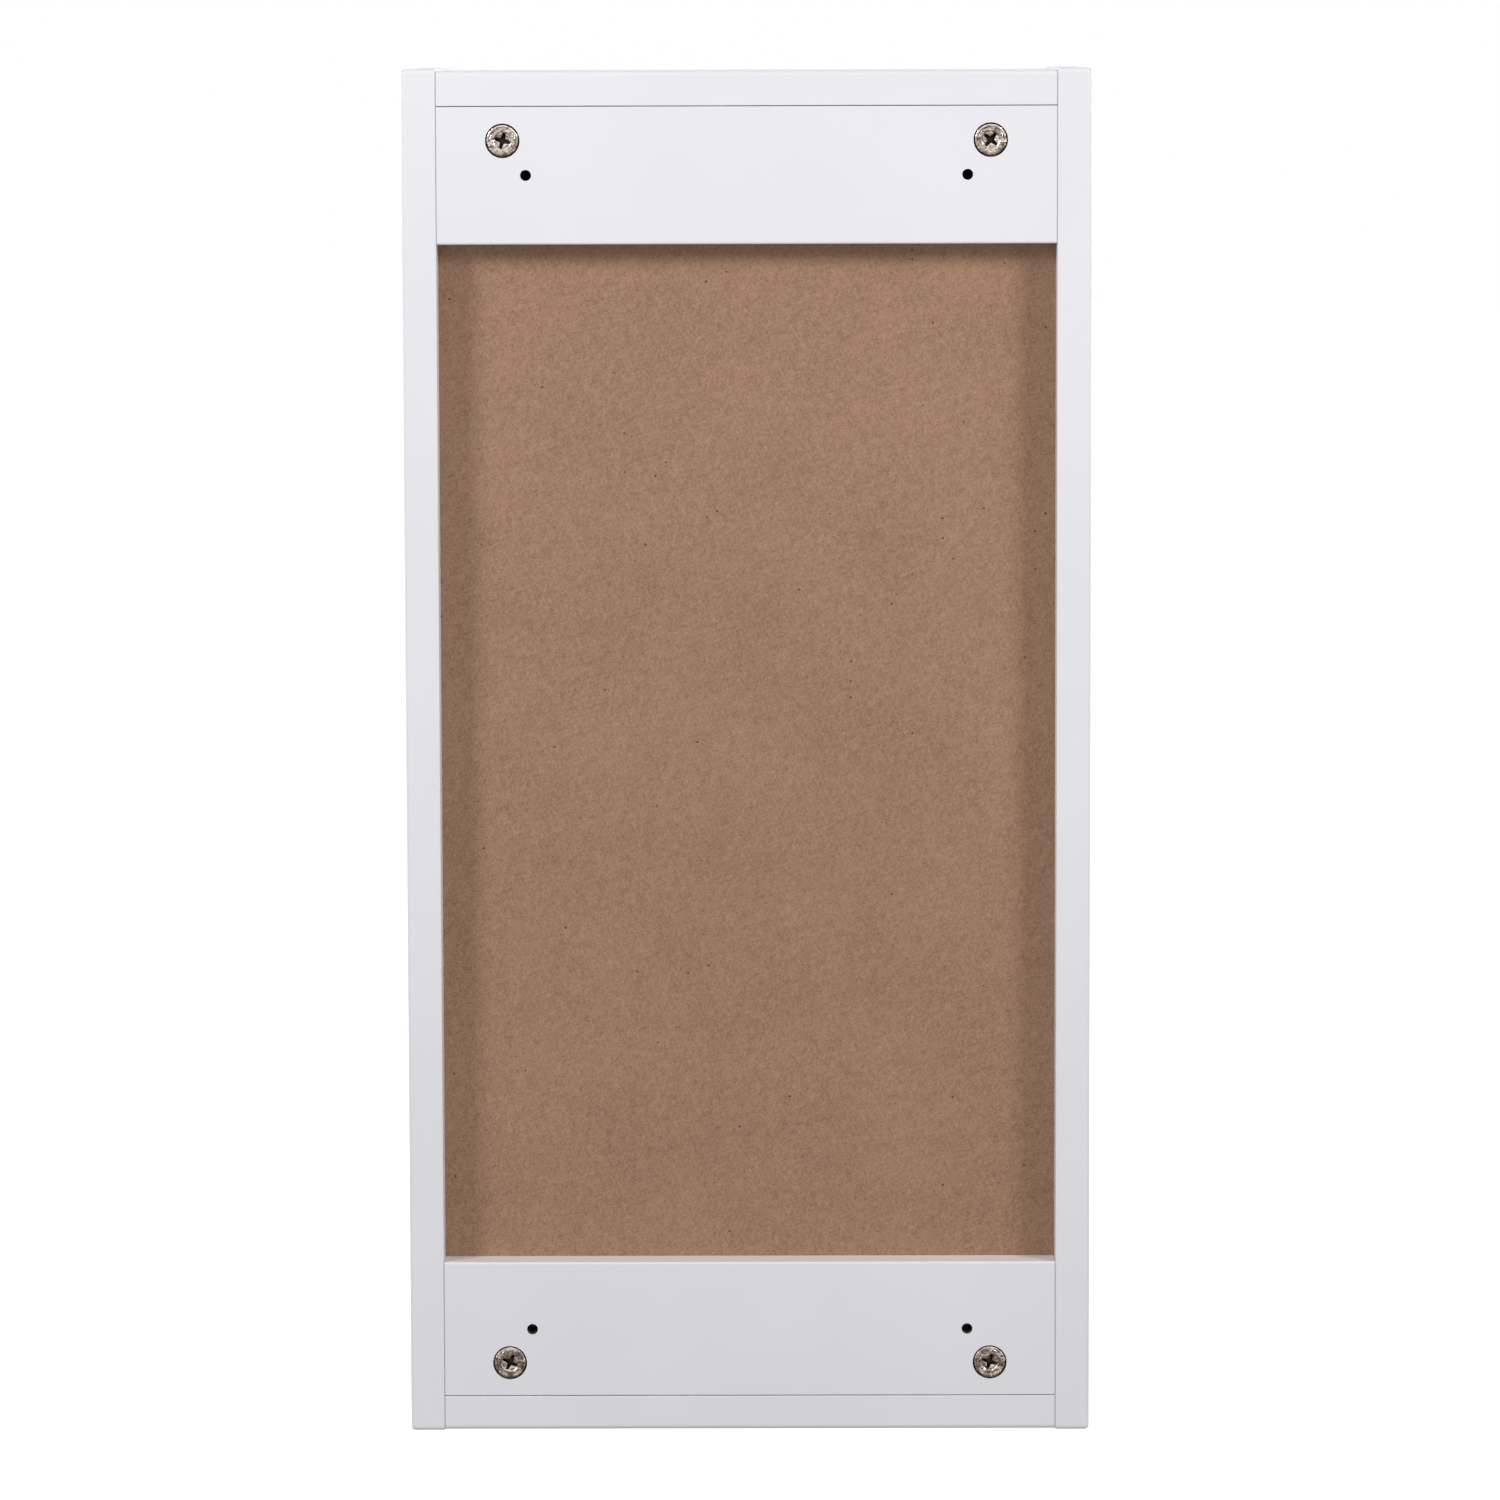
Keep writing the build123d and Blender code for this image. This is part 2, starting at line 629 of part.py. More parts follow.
with BuildPart() as knob_screw:
    with BuildSketch(facing_wall(knob_x, door_back_y, knob_z)):
        Circle(screw_head_diameter / 2)
    extrude(amount=screw_head_thickness)
    fillet(knob_screw.faces().sort_by(Axis.Y)[-1].edges(), screw_head_thickness / 2)
    with BuildSketch(facing_front(knob_x, door_back_y, knob_z)):
        Circle(knob_screw_diameter / 2)
    extrude(amount=door_thickness + knob_screw_reach)
    with BuildSketch(facing_wall(knob_x, door_back_y + screw_head_thickness, knob_z)):
        Rectangle(screw_cross_length, screw_cross_width)
        Rectangle(screw_cross_width, screw_cross_length)
    extrude(amount=-screw_head_thickness / 2, mode=Mode.SUBTRACT)
save(knob_screw, "knob_screw")

# Soft bumpers on the door's rear face, in line with the knob side's edge.
with BuildPart() as door_bumpers:
    with BuildSketch(door_rear_plane):
        with Locations(*[
            (-door_half + bumper_inset, door_mid_z + half * (door_height / 2 - bumper_end_inset))
            for half in (-1, 1)
        ]):
            Circle(bumper_diameter / 2)
    extrude(amount=door_gap - bumper_seat_gap)
    fillet(door_bumpers.faces().filter_by(Plane.XZ).group_by(Axis.Y)[-1].edges(), bumper_round)
save(door_bumpers, "door_bumpers")


def pan_screw(length):
    """Pan head screw whose head stands on Z = 0 and whose shank goes down."""
    with BuildPart() as screw:
        with BuildSketch():
            Circle(screw_head_diameter / 2)
        extrude(amount=screw_head_thickness)
        fillet(screw.faces().sort_by(Axis.Z)[-1].edges(), screw_head_thickness / 2)
        with BuildSketch(Plane.XY.offset(-length)):
            Circle(screw_shank_diameter / 2 - screw_play)
        extrude(amount=length)
        with BuildSketch(Plane.XY.offset(screw_head_thickness)):
            Rectangle(screw_cross_length, screw_cross_width)
            Rectangle(screw_cross_width, screw_cross_length)
        extrude(amount=-screw_head_thickness / 2, mode=Mode.SUBTRACT)
    return screw.part


# Hinges: a cup with its flange in the door, an arm with a barrel, and a plate on the side panel.
arm_top_x = arm_x + arm_thickness / 2
arm_under_x = arm_x - arm_thickness / 2
arm_front_y = front_y + arm_front_setback
plate_top_x = -inner_half + plate_thickness
lug_mid = arm_neck_width / 2 + lug_gap + lug_length / 2
for name, hinge_z in (("lower_hinge", lower_hinge_z), ("upper_hinge", upper_hinge_z)):
    cup_face = facing_wall(cup_x, door_back_y, hinge_z)
    wing_points = [(-wing_offset, half * cup_screw_spacing / 2) for half in (-1, 1)]
    lug_points = [(cup_x - pivot_x, half * lug_mid) for half in (-1, 1)]
    with BuildPart() as hinge_cup:
        with BuildSketch(cup_face):
            Circle(cup_diameter / 2)
        extrude(amount=-cup_depth)
        with BuildSketch(cup_face):
            Circle(cup_hole_diameter / 2 + flange_overlap)
            with Locations((-wing_offset, 0)):
                RectangleRounded(wing_width, cup_screw_spacing + wing_width, wing_width / 2 - arris)
        extrude(amount=flange_thickness)
        with BuildSketch(cup_face.offset(flange_thickness)):
            Circle(cup_diameter / 2 - cup_wall)
        extrude(amount=-cup_depth - flange_thickness + cup_floor, mode=Mode.SUBTRACT)
        with BuildSketch(cup_face.offset(cup_floor - cup_depth)):
            with Locations(*lug_points):
                Rectangle(barrel_diameter, lug_length)
            Circle(cup_diameter / 2 - cup_wall, mode=Mode.INTERSECT)
        extrude(amount=cup_depth - cup_floor - pivot_depth + barrel_diameter / 2)
        with BuildSketch(cup_face.offset(flange_thickness)):
            with Locations(*wing_points):
                Circle(screw_shank_diameter / 2)
        extrude(amount=-flange_thickness, mode=Mode.SUBTRACT)
        with BuildSketch(Plane(origin=(pivot_x, pivot_y, hinge_z - pivot_length / 2))):
            Circle(pivot_diameter / 2 + pivot_seat_play)
        extrude(amount=pivot_length, mode=Mode.SUBTRACT)
    save(hinge_cup, name + "_cup")

    with BuildPart() as hinge_arm:
        with BuildSketch(Plane.XY.offset(hinge_z - arm_neck_width / 2)):
            with Locations((pivot_x, pivot_y)):
                Circle(barrel_diameter / 2)
            with Locations((pivot_x + arm_offset / 2 + arm_thickness / 4, pivot_y)):
                Rectangle(arm_offset + arm_thickness / 2, arm_thickness)
            with Locations((arm_x, pivot_y - arm_thickness / 2)):
                Rectangle(
                    arm_thickness,
                    arm_front_y + arm_wall - pivot_y + arm_thickness / 2,
                    align=(Align.CENTER, Align.MIN),
                )
        extrude(amount=arm_neck_width)
        with BuildSketch(facing_right(arm_top_x, arm_front_y + arm_length / 2, hinge_z)):
            RectangleRounded(arm_length, arm_body_width, arm_wall)
        extrude(amount=plate_top_x - arm_top_x)
        with BuildSketch(facing_right(arm_under_x, arm_front_y + arm_length / 2 + arm_wall, hinge_z)):
            Rectangle(arm_length, arm_body_width - 2 * arm_wall)
        extrude(amount=plate_top_x - arm_under_x, mode=Mode.SUBTRACT)
        with BuildSketch(facing_right(arm_top_x, plate_y, hinge_z)):
            with GridLocations(arm_screw_spacing, 1, 2, 1):
                Circle(screw_shank_diameter / 2)
        extrude(amount=-arm_thickness, mode=Mode.SUBTRACT)
        with BuildSketch(Plane(origin=(pivot_x, pivot_y, hinge_z - arm_neck_width / 2))):
            Circle(pivot_diameter / 2 + pivot_play)
        extrude(amount=arm_neck_width, mode=Mode.SUBTRACT)
    save(hinge_arm, name + "_arm")

    with BuildPart() as hinge_plate:
        with BuildSketch(facing_right(-inner_half, plate_y, hinge_z)):
            RectangleRounded(
                plate_wing_width, plate_screw_pitch + plate_wing_width, plate_wing_width / 2 - arris
            )
            Rectangle(plate_rail_length, plate_rail_width)
        extrude(amount=plate_thickness)
        with BuildSketch(facing_right(plate_top_x, plate_y, hinge_z)):
            Rectangle(plate_rail_length, plate_rail_width)
        extrude(amount=arm_under_x - plate_top_x)
        with BuildSketch(facing_right(plate_top_x, plate_y, hinge_z)):
            with GridLocations(1, plate_screw_pitch, 1, 2):
                Circle(screw_shank_diameter / 2)
        extrude(amount=-plate_thickness, mode=Mode.SUBTRACT)
        with BuildSketch(facing_right(arm_under_x, plate_y, hinge_z)):
            with GridLocations(arm_screw_spacing, 1, 2, 1):
                Circle(screw_shank_diameter / 2)
        extrude(amount=-inner_half - arm_under_x, mode=Mode.SUBTRACT)
    save(hinge_plate, name + "_plate")

with BuildPart() as hinge_pins:
    for hinge_z in (lower_hinge_z, upper_hinge_z):
        with BuildSketch(Plane(origin=(pivot_x, pivot_y, hinge_z - pivot_length / 2))):
            Circle(pivot_diameter / 2)
        extrude(amount=pivot_length)
save(hinge_pins, "hinge_pins")

# Hinge screws: into the door, into the side panel, and from the arm into its plate.
wood_screw = pan_screw(screw_length - pilot_bottom_gap)
with BuildPart() as cup_screws:
    with Locations(*[
        facing_wall(cup_screw_x, door_back_y + flange_thickness, z).location
        for _, z in cup_screw_points
    ]):
        add(wood_screw)
save(cup_screws, "cup_screws")

with BuildPart() as plate_screws:
    with Locations(*[facing_right(plate_top_x, plate_y, z).location for z in plate_screw_zs]):
        add(wood_screw)
save(plate_screws, "plate_screws")

arm_screw = pan_screw(arm_top_x + inner_half - pilot_bottom_gap)
with BuildPart() as arm_screws:
    with Locations(*[
        facing_right(arm_top_x, plate_y + half * arm_screw_spacing / 2, hinge_z).location
        for hinge_z in (lower_hinge_z, upper_hinge_z)
        for half in (-1, 1)
    ]):
        add(arm_screw)
save(arm_screws, "arm_screws")

# Magnetic catch under the top panel, with its strike plate on the door.
magnet_length = catch_body_length - 2 * catch_wall
magnet_depth = catch_depth - catch_wall
pole_reach = door_gap - strike_thickness - strike_gap
cavity_height = magnet_thickness + 2 * pole_thickness
with BuildPart() as catch_housing:
    with BuildSketch(facing_front(catch_offset, front_y, strike_z)):
        RectangleRounded(catch_body_length, catch_height, catch_wall)
    extrude(amount=-catch_depth)
    with BuildSketch(Plane.XY.offset(ceiling_z)):
        with Locations((catch_offset, front_y + catch_depth / 2)):
            RectangleRounded(catch_length, catch_depth, catch_wall)
    extrude(amount=-catch_ear_thickness)
    with BuildSketch(facing_front(catch_offset, front_y, strike_z)):
        Rectangle(magnet_length, cavity_height)
    extrude(amount=-magnet_depth, mode=Mode.SUBTRACT)
    with BuildSketch(Plane.XY.offset(ceiling_z)):
        with Locations((catch_offset, front_y + catch_depth / 2)):
            with GridLocations(catch_screw_spacing, 1, 2, 1):
                Circle(screw_shank_diameter / 2)
    extrude(amount=-catch_ear_thickness, mode=Mode.SUBTRACT)
save(catch_housing, "catch_housing")

with BuildPart() as catch_magnet:
    with BuildSketch(facing_front(catch_offset, front_y, strike_z)):
        Rectangle(magnet_length, magnet_thickness)
    extrude(amount=-magnet_depth)
save(catch_magnet, "catch_magnet")

with BuildPart() as catch_pole_plates:
    with BuildSketch(facing_front(catch_offset, front_y - pole_reach, strike_z)):
        with GridLocations(1, magnet_thickness + pole_thickness, 1, 2):
            Rectangle(magnet_length, pole_thickness)
    extrude(amount=-pole_reach - magnet_depth)
save(catch_pole_plates, "catch_pole_plates")

catch_screw = pan_screw(screw_length - pilot_bottom_gap)
with BuildPart() as catch_screws:
    with Locations(*[
        Plane(
            origin=(x, front_y + catch_depth / 2, ceiling_z - catch_ear_thickness), z_dir=(0, 0, -1)
        ).location
        for x in catch_screw_xs
    ]):
        add(catch_screw)
save(catch_screws, "catch_screws")

with BuildPart() as strike_plate:
    with BuildSketch(facing_wall(catch_offset, door_back_y, strike_z)):
        RectangleRounded(strike_length, strike_height, edge_round)
        Circle(screw_shank_diameter / 2, mode=Mode.SUBTRACT)
    extrude(amount=strike_thickness)
    rim = strike_plate.faces().sort_by(Axis.Y)[-1].inner_wires()[0]
    chamfer(rim.edges(), strike_thickness - arris)
save(strike_plate, "strike_plate")

strike_head_depth = strike_thickness - arris
with BuildPart() as strike_screw:
    with BuildSketch(Plane(origin=(catch_offset, door_back_y + strike_thickness, strike_z))):
        with BuildLine():
            Polyline(
                (0, 0),
                (screw_shank_diameter / 2 - screw_play + strike_head_depth, 0),
                (screw_shank_diameter / 2 - screw_play, -strike_head_depth),
                (screw_shank_diameter / 2 - screw_play, pilot_bottom_gap - screw_length),
                (0, pilot_bottom_gap - screw_length),
                close=True,
            )
        make_face()
    revolve(axis=Axis((catch_offset, 0, strike_z), (0, 1, 0)))
    with BuildSketch(facing_wall(catch_offset, door_back_y + strike_thickness, strike_z)):
        Rectangle(strike_cross_length, screw_cross_width)
        Rectangle(screw_cross_width, strike_cross_length)
    extrude(amount=-strike_head_depth, mode=Mode.SUBTRACT)
save(strike_screw, "strike_screw")
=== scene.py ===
"""Looks of a single door mirror cabinet: its finishes, fine pieces, studio light and camera."""

import json
import logging
import math
from dataclasses import dataclass, field, replace
from enum import Enum, IntEnum
from typing import Any, Iterable, Sequence

import bmesh
import bpy
from bmesh.types import BMEdge, BMesh, BMFace, BMVert
from bpy.types import Material, Node, NodeSocket, NodeTree
from mathutils import Matrix, Vector

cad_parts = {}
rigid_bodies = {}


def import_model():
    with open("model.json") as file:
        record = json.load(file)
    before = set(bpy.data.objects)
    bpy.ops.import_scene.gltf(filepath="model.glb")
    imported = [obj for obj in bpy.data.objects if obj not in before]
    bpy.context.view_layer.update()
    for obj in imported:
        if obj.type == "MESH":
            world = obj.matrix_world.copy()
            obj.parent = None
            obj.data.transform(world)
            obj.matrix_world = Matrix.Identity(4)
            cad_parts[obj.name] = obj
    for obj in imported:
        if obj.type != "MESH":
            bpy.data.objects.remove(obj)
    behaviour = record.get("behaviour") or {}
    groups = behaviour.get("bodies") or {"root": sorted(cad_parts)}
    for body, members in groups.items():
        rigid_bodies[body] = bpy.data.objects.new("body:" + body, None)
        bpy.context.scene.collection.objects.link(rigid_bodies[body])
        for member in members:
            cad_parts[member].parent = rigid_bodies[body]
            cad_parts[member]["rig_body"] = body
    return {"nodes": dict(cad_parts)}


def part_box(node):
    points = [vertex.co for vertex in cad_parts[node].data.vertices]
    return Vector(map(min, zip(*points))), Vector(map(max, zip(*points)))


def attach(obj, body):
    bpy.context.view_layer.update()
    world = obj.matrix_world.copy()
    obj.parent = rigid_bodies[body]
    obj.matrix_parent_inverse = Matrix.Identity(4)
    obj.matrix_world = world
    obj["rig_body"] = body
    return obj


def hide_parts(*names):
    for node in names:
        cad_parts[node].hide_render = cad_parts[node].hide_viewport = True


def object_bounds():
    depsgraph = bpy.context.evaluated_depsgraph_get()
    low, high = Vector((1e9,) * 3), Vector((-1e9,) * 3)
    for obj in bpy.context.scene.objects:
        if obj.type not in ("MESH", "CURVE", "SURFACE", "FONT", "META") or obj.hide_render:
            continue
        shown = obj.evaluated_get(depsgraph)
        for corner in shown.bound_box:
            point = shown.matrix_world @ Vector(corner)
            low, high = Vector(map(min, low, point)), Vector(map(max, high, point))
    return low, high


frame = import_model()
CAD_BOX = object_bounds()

MM = 0.001
# Points that lie nearer to each other than this, in millimetres, are merged.
MERGE_MM = 0.001
# The least share of a unit normal along an axis for a face that looks that way.
FACING = 0.9
LOG = logging.getLogger("mirror_cabinet")

Triple = tuple[float, float, float]
Span = tuple[float, float]
Stops = tuple[tuple[float, str], ...]


class Body(str, Enum):
    """Bodies of the frame that a new piece can ride on."""

    CARCASS = "carcass"
    DOOR = "door"


class LockFace(IntEnum):
    """Material numbers of a cam lock's faces."""

    SKIN = 0
    RECESS = 1


class MirrorFace(IntEnum):
    """Material numbers of the mirror's faces."""

    SILVER = 0
    GROUND = 1
    PAINT = 2


def linear(colour: str) -> tuple[float, float, float, float]:
    """Turn an sRGB hex colour into the linear values that a shader takes.

    Args:
        colour: Six hex digits, such as "E9E9EC".

    Returns:
        Red, green, blue and an alpha of one.
    """
    shares = [int(colour[at:at + 2], 16) / 255 for at in (0, 2, 4)]
    # The sRGB curve is a straight line near black and a power above it.
    red, green, blue = [
        share / 12.92 if share <= 0.04045 else ((share + 0.055) / 1.055) ** 2.4
        for share in shares
    ]
    return red, green, blue, 1.0


def scale(size_mm: float) -> float:
    """Give the scale at which a pattern has a size in millimetres."""
    return 1 / (size_mm * MM)


def fill(node: Node, inputs: dict[str | int, Any]) -> None:
    """Give a node's inputs their values or links.

    Args:
        node: The node to fill.
        inputs: For each input's name or number, a value, an output, or a node for its first one.
    """
    for key, value in inputs.items():
        if isinstance(value, Node):
            value = value.outputs[0]
        if isinstance(value, NodeSocket):
            node.id_data.links.new(value, node.inputs[key])
        else:
            node.inputs[key].default_value = value


def add(
    tree: NodeTree,
    kind: str,
    inputs: dict[str | int, Any] | None = None,
    stops: Iterable[tuple[float, str]] = (),
    **settings: Any,
) -> Node:
    """Add a node with its settings and links.

    Args:
        tree: The node tree of a material or of the world.
        kind: The node's type, without the words ShaderNode before it.
        inputs: For each input's name or number, a value, an output, or a node for its first one.
        stops: For a colour ramp, each stop's place and sRGB hex colour: first, last, others.
        **settings: The node's own settings.

    Returns:
        The new node.
    """
    node = tree.nodes.new(f"ShaderNode{kind}")
    for key, value in settings.items():
        setattr(node, key, value)
    for at, (place, colour) in enumerate(stops):
        ramp = node.color_ramp.elements
        stop = ramp[at] if at < len(ramp) else ramp.new(place)
        stop.position = place
        stop.color = linear(colour)
    fill(node, inputs or {})
    return node


@dataclass(frozen=True)
class Finish:
    """A finish of one surface. Its plain values sit on the shader's own sockets."""

    name: str
    colour: str
    roughness: float
    metallic: float = 0.0
    ior: float = 1.5
    # How much smoother and rougher than its roughness the surface gets.
    gloss_span: Span = (0.0, 0.0)

    def gloss_ends(self) -> dict[str, float]:
        """Give the least and the most roughness, as inputs of a range."""
        least, most = [self.roughness + change for change in self.gloss_span]
        return {"To Min": least, "To Max": most}

    def make(self) -> Material:
        """Build the material.

        Returns:
            The new material, with the surface's own pattern.
        """
        material = bpy.data.materials.new(self.name)
        material.use_nodes = True
        shader = material.node_tree.nodes["Principled BSDF"]
        fill(shader, {
            "Base Color": linear(self.colour),
            "Roughness": self.roughness,
            "Metallic": self.metallic,
            "IOR": self.ior,
        })
        self.detail(material.node_tree, shader)
        return material

    def detail(self, tree: NodeTree, shader: Node) -> None:
        """Add the surface's own pattern.

        Args:
            tree: The material's nodes.
            shader: The shader to feed.
        """
        raise NotImplementedError


@dataclass(frozen=True)
class SatinLacquer(Finish):
    """Sprayed polyurethane lacquer on fibreboard.

    It is smooth and satin, with the shallow ripple that a spray coat dries to. Holes and grooves
    are cut through it, so their walls show the raw brown board from a coat's depth inwards. Where
    a board butts against the sides, its ends get a thin grey line of painted shade, standing in for
    the shadow in the joint's hairline gap.
    """

    shade: str = "E8E7EA"
    cloud_mm: float = 120.0
    cloud_span: Span = (0.38, 0.62)
    ripple_mm: float = 2.2
    ripple_depth_mm: float = 0.012
    grit_mm: float = 0.5
    grit_depth_mm: float = 0.003
    raw: str = "8F8177"
    raw_roughness: float = 0.85
    raw_low: Triple = (0.0, 0.0, 0.0)
    raw_high: Triple = (0.0, 0.0, 0.0)
    # Painted shade: the grey of the line that stands in for the shadow in a joint's hairline gap.
    joint_shade: str = "BAB8BD"
    joint_mm: float = 0.35
    joint_x: float = 0.0

    def detail(self, tree: NodeTree, shader: Node) -> None:
        """Add a faint cloud of tone, the spray ripple and fine grit.

        Args:
            tree: The material's nodes.
            shader: The shader to feed.
        """
        place = add(tree, "TexCoord").outputs["Object"]
        cloud, ripple, grit = [
            add(tree, "TexNoise", {"Vector": place, "Scale": scale(size), "Detail": octaves})
            for size, octaves in ((self.cloud_mm, 4.0), (self.ripple_mm, 1.0), (self.grit_mm, 2.0))
        ]
        tones = zip(self.cloud_span, (self.shade, self.colour))
        tone = add(tree, "ValToRGB", {"Fac": cloud}, tones)
        under = add(tree, "Bump", {"Height": ripple, "Distance": self.ripple_depth_mm * MM})
        over = add(tree, "Bump", {
            "Height": grit,
            "Distance": self.grit_depth_mm * MM,
            "Normal": under,
        })
        core = self.core(tree, place)
        coat = add(tree, "MixRGB", {"Fac": core, "Color1": tone, "Color2": linear(self.raw)})
        # Painted shade at the board's ends, where it butts against the sides.
        if self.joint_x:
            coat = self.shade_joints(tree, place, coat)
        gloss = add(tree, "MapRange", {
            "Value": core, "To Min": self.roughness, "To Max": self.raw_roughness,
        })
        fill(shader, {"Base Color": coat, "Roughness": gloss, "Normal": over})

    def core(self, tree: NodeTree, place: NodeSocket) -> Node:
        """Find where a surface lies inside the board's own box, as only the wall of a cut does.

        Args:
            tree: The material's nodes.
            place: The point's place.

        Returns:
            One inside the box and zero outside.
        """
        axes = add(tree, "SeparateXYZ", {"Vector": place})
        inside: Node | float = 1.0
        for axis, low, high in zip("XYZ", self.raw_low, self.raw_high):
            middle, half = (low + high) / 2, max(0.0, high - low) / 2
            within = add(tree, "Math", {
                0: axes.outputs[axis], 1: middle, 2: half,
            }, operation="COMPARE")
            inside = add(tree, "Math", {0: inside, 1: within}, operation="MULTIPLY")
        return inside

    def shade_joints(self, tree: NodeTree, place: NodeSocket, coat: Node) -> Node:
        """Paint a thin grey line of shade at both ends of a board that butts against the sides,
        where the joint's hairline gap would cast it.

        Args:
            tree: The material's nodes.
            place: The point's place.
            coat: The board's colour without the painted shade line.

        Returns:
            The colour with it.
        """
        across = add(tree, "SeparateXYZ", {"Vector": place})
        outward = add(tree, "Math", {0: across.outputs["X"]}, operation="ABSOLUTE")
        end = add(tree, "Math", {
            0: outward, 1: self.joint_x - self.joint_mm * MM,
        }, operation="GREATER_THAN")
        return add(tree, "MixRGB", {"Fac": end, "Color1": coat, "Color2": linear(self.joint_shade)})


@dataclass(frozen=True)
class RawFibreboard(Finish):
    """High density fibreboard, raw and felted on the wall side and white film inside.

    The raw side is matt and warm brown, of short matted fibres with a few dark flecks.
    """

    dark: str = "83644D"
    pale: str = "AE8A6F"
    fleck: str = "5E4535"
    film: str = "E8E7EA"
    film_below_y_mm: float = -16.5
    felt_mm: float = 0.8
    felt_depth_mm: float = 0.06
    fibre_mm: float = 1.1
    # The directions in which the fibres lie, in radians.
    fibre_angles: tuple[float, ...] = (0.5, 1.9, 2.8)
    fibre_stretch: float = 4.0
    fibre_share: float = 0.3
    cloud_mm: float = 45.0
    cloud_share: float = 0.22
    spread: float = 0.29
    fleck_mm: float = 4.5
    fleck_share: float = 0.05
    fleck_radius: float = 0.12

    def detail(self, tree: NodeTree, shader: Node) -> None:
        """Add felt, crossed fibres, clouds and flecks, and the white film on the inner side.

        Args:
            tree: The material's nodes.
            shader: The shader to feed.
        """
        place = add(tree, "TexCoord").outputs["Object"]
        grain = self.grain(tree, place)
        cloud = add(tree, "TexNoise", {
            "Vector": place, "Scale": scale(self.cloud_mm), "Detail": 3.0,
        })
        mixed = add(tree, "Math", {
            0: cloud, 1: self.cloud_share, 2: grain,
        }, operation="MULTIPLY_ADD")
        # Each noise lies about one half, so the sum's middle is half of all the shares.
        middle = (1 + len(self.fibre_angles) * self.fibre_share + self.cloud_share) / 2
        level = add(tree, "MapRange", {
            "Value": mixed,
            "From Min": middle - self.spread,
            "From Max": middle + self.spread,
        })
        brown = add(tree, "ValToRGB", {"Fac": level}, (
            (0.0, self.dark), (1.0, self.pale), (0.5, self.colour),
        ))
        flecked = add(tree, "MixRGB", {
            "Fac": self.flecks(tree, place),
            "Color1": brown,
            "Color2": linear(self.fleck),
        })
        depth = add(tree, "SeparateXYZ", {"Vector": place})
        wall_side = add(tree, "Math", {
            0: depth.outputs["Y"], 1: self.film_below_y_mm * MM,
        }, operation="GREATER_THAN")
        sides = add(tree, "MixRGB", {
            "Fac": wall_side,
            "Color1": linear(self.film),
            "Color2": flecked,
        })
        bump = add(tree, "Bump", {
            "Height": grain,
            "Distance": self.felt_depth_mm * MM,
            "Strength": wall_side,
        })
        fill(shader, {"Base Color": sides, "Normal": bump})

    def grain(self, tree: NodeTree, place: NodeSocket) -> Node:
        """Mat felt and fibres that lie in several directions.

        Args:
            tree: The material's nodes.
            place: The point's place.

        Returns:
            The height of the mat.
        """
        grain = add(tree, "TexNoise", {
            "Vector": place, "Scale": scale(self.felt_mm), "Detail": 3.0, "Roughness": 0.65,
        })
        for angle in self.fibre_angles:
            lie = add(tree, "Mapping", {
                "Vector": place,
                "Rotation": (0.0, angle, 0.0),
                "Scale": (1.0, 1.0, self.fibre_stretch),
            }, vector_type="TEXTURE")
            fibre = add(tree, "TexNoise", {
                "Vector": lie, "Scale": scale(self.fibre_mm), "Detail": 1.0,
            })
            grain = add(tree, "Math", {
                0: fibre, 1: self.fibre_share, 2: grain,
            }, operation="MULTIPLY_ADD")
        return grain

    def flecks(self, tree: NodeTree, place: NodeSocket) -> Node:
        """Scatter a few small round flecks.

        Args:
            tree: The material's nodes.
            place: The point's place.

        Returns:
            One in a fleck and zero elsewhere.
        """
        cells = add(tree, "TexVoronoi", {"Vector": place, "Scale": scale(self.fleck_mm)})
        lot = add(tree, "SeparateColor", {"Color": cells.outputs["Color"]})
        rare = add(tree, "Math", {
            0: lot.outputs["Red"], 1: 1 - self.fleck_share,
        }, operation="GREATER_THAN")
        near = add(tree, "Math", {0: cells, 1: self.fleck_radius}, operation="LESS_THAN")
        return add(tree, "Math", {0: rare, 1: near}, operation="MULTIPLY")


@dataclass(frozen=True)
class CastZinc(Finish):
    """Nickel plated die cast zinc.

    It is a warm grey metal with a lumpy skin, its colour darker in the hollows of the lumps and
    paler on their tops.
    """

    metallic: float = 1.0
    hollow_tone: str = "A4978F"
    lump_mm: float = 2.6
    lump_span: Span = (0.35, 0.6)
    lump_depth_mm: float = 0.45
    pit_mm: float = 0.9
    pit_depth_mm: float = 0.012
    gloss_span: Span = (-0.08, 0.14)

    def detail(self, tree: NodeTree, shader: Node) -> None:
        """Add the skin's lumps and pits, with a colour that is darker in the lumps' hollows.

        Args:
            tree: The material's nodes.
            shader: The shader to feed.
        """
        place = add(tree, "TexCoord").outputs["Object"]
        lump = add(tree, "TexNoise", {
            "Vector": place, "Scale": scale(self.lump_mm), "Detail": 1.5, "Distortion": 0.6,
        })
        pit = add(tree, "TexNoise", {"Vector": place, "Scale": scale(self.pit_mm), "Detail": 2.0})
        # The colour follows the lumps' height: darker in their hollows, paler on their tops.
        tone = add(tree, "ValToRGB", {"Fac": lump}, zip(self.lump_span, (self.hollow_tone, self.colour)))
        gloss = add(tree, "MapRange", {"Value": pit, **self.gloss_ends()})
        under = add(tree, "Bump", {"Height": lump, "Distance": self.lump_depth_mm * MM})
        over = add(tree, "Bump", {
            "Height": pit,
            "Distance": self.pit_depth_mm * MM,
            "Normal": under,
        })
        fill(shader, {"Base Color": tone, "Roughness": gloss, "Normal": over})


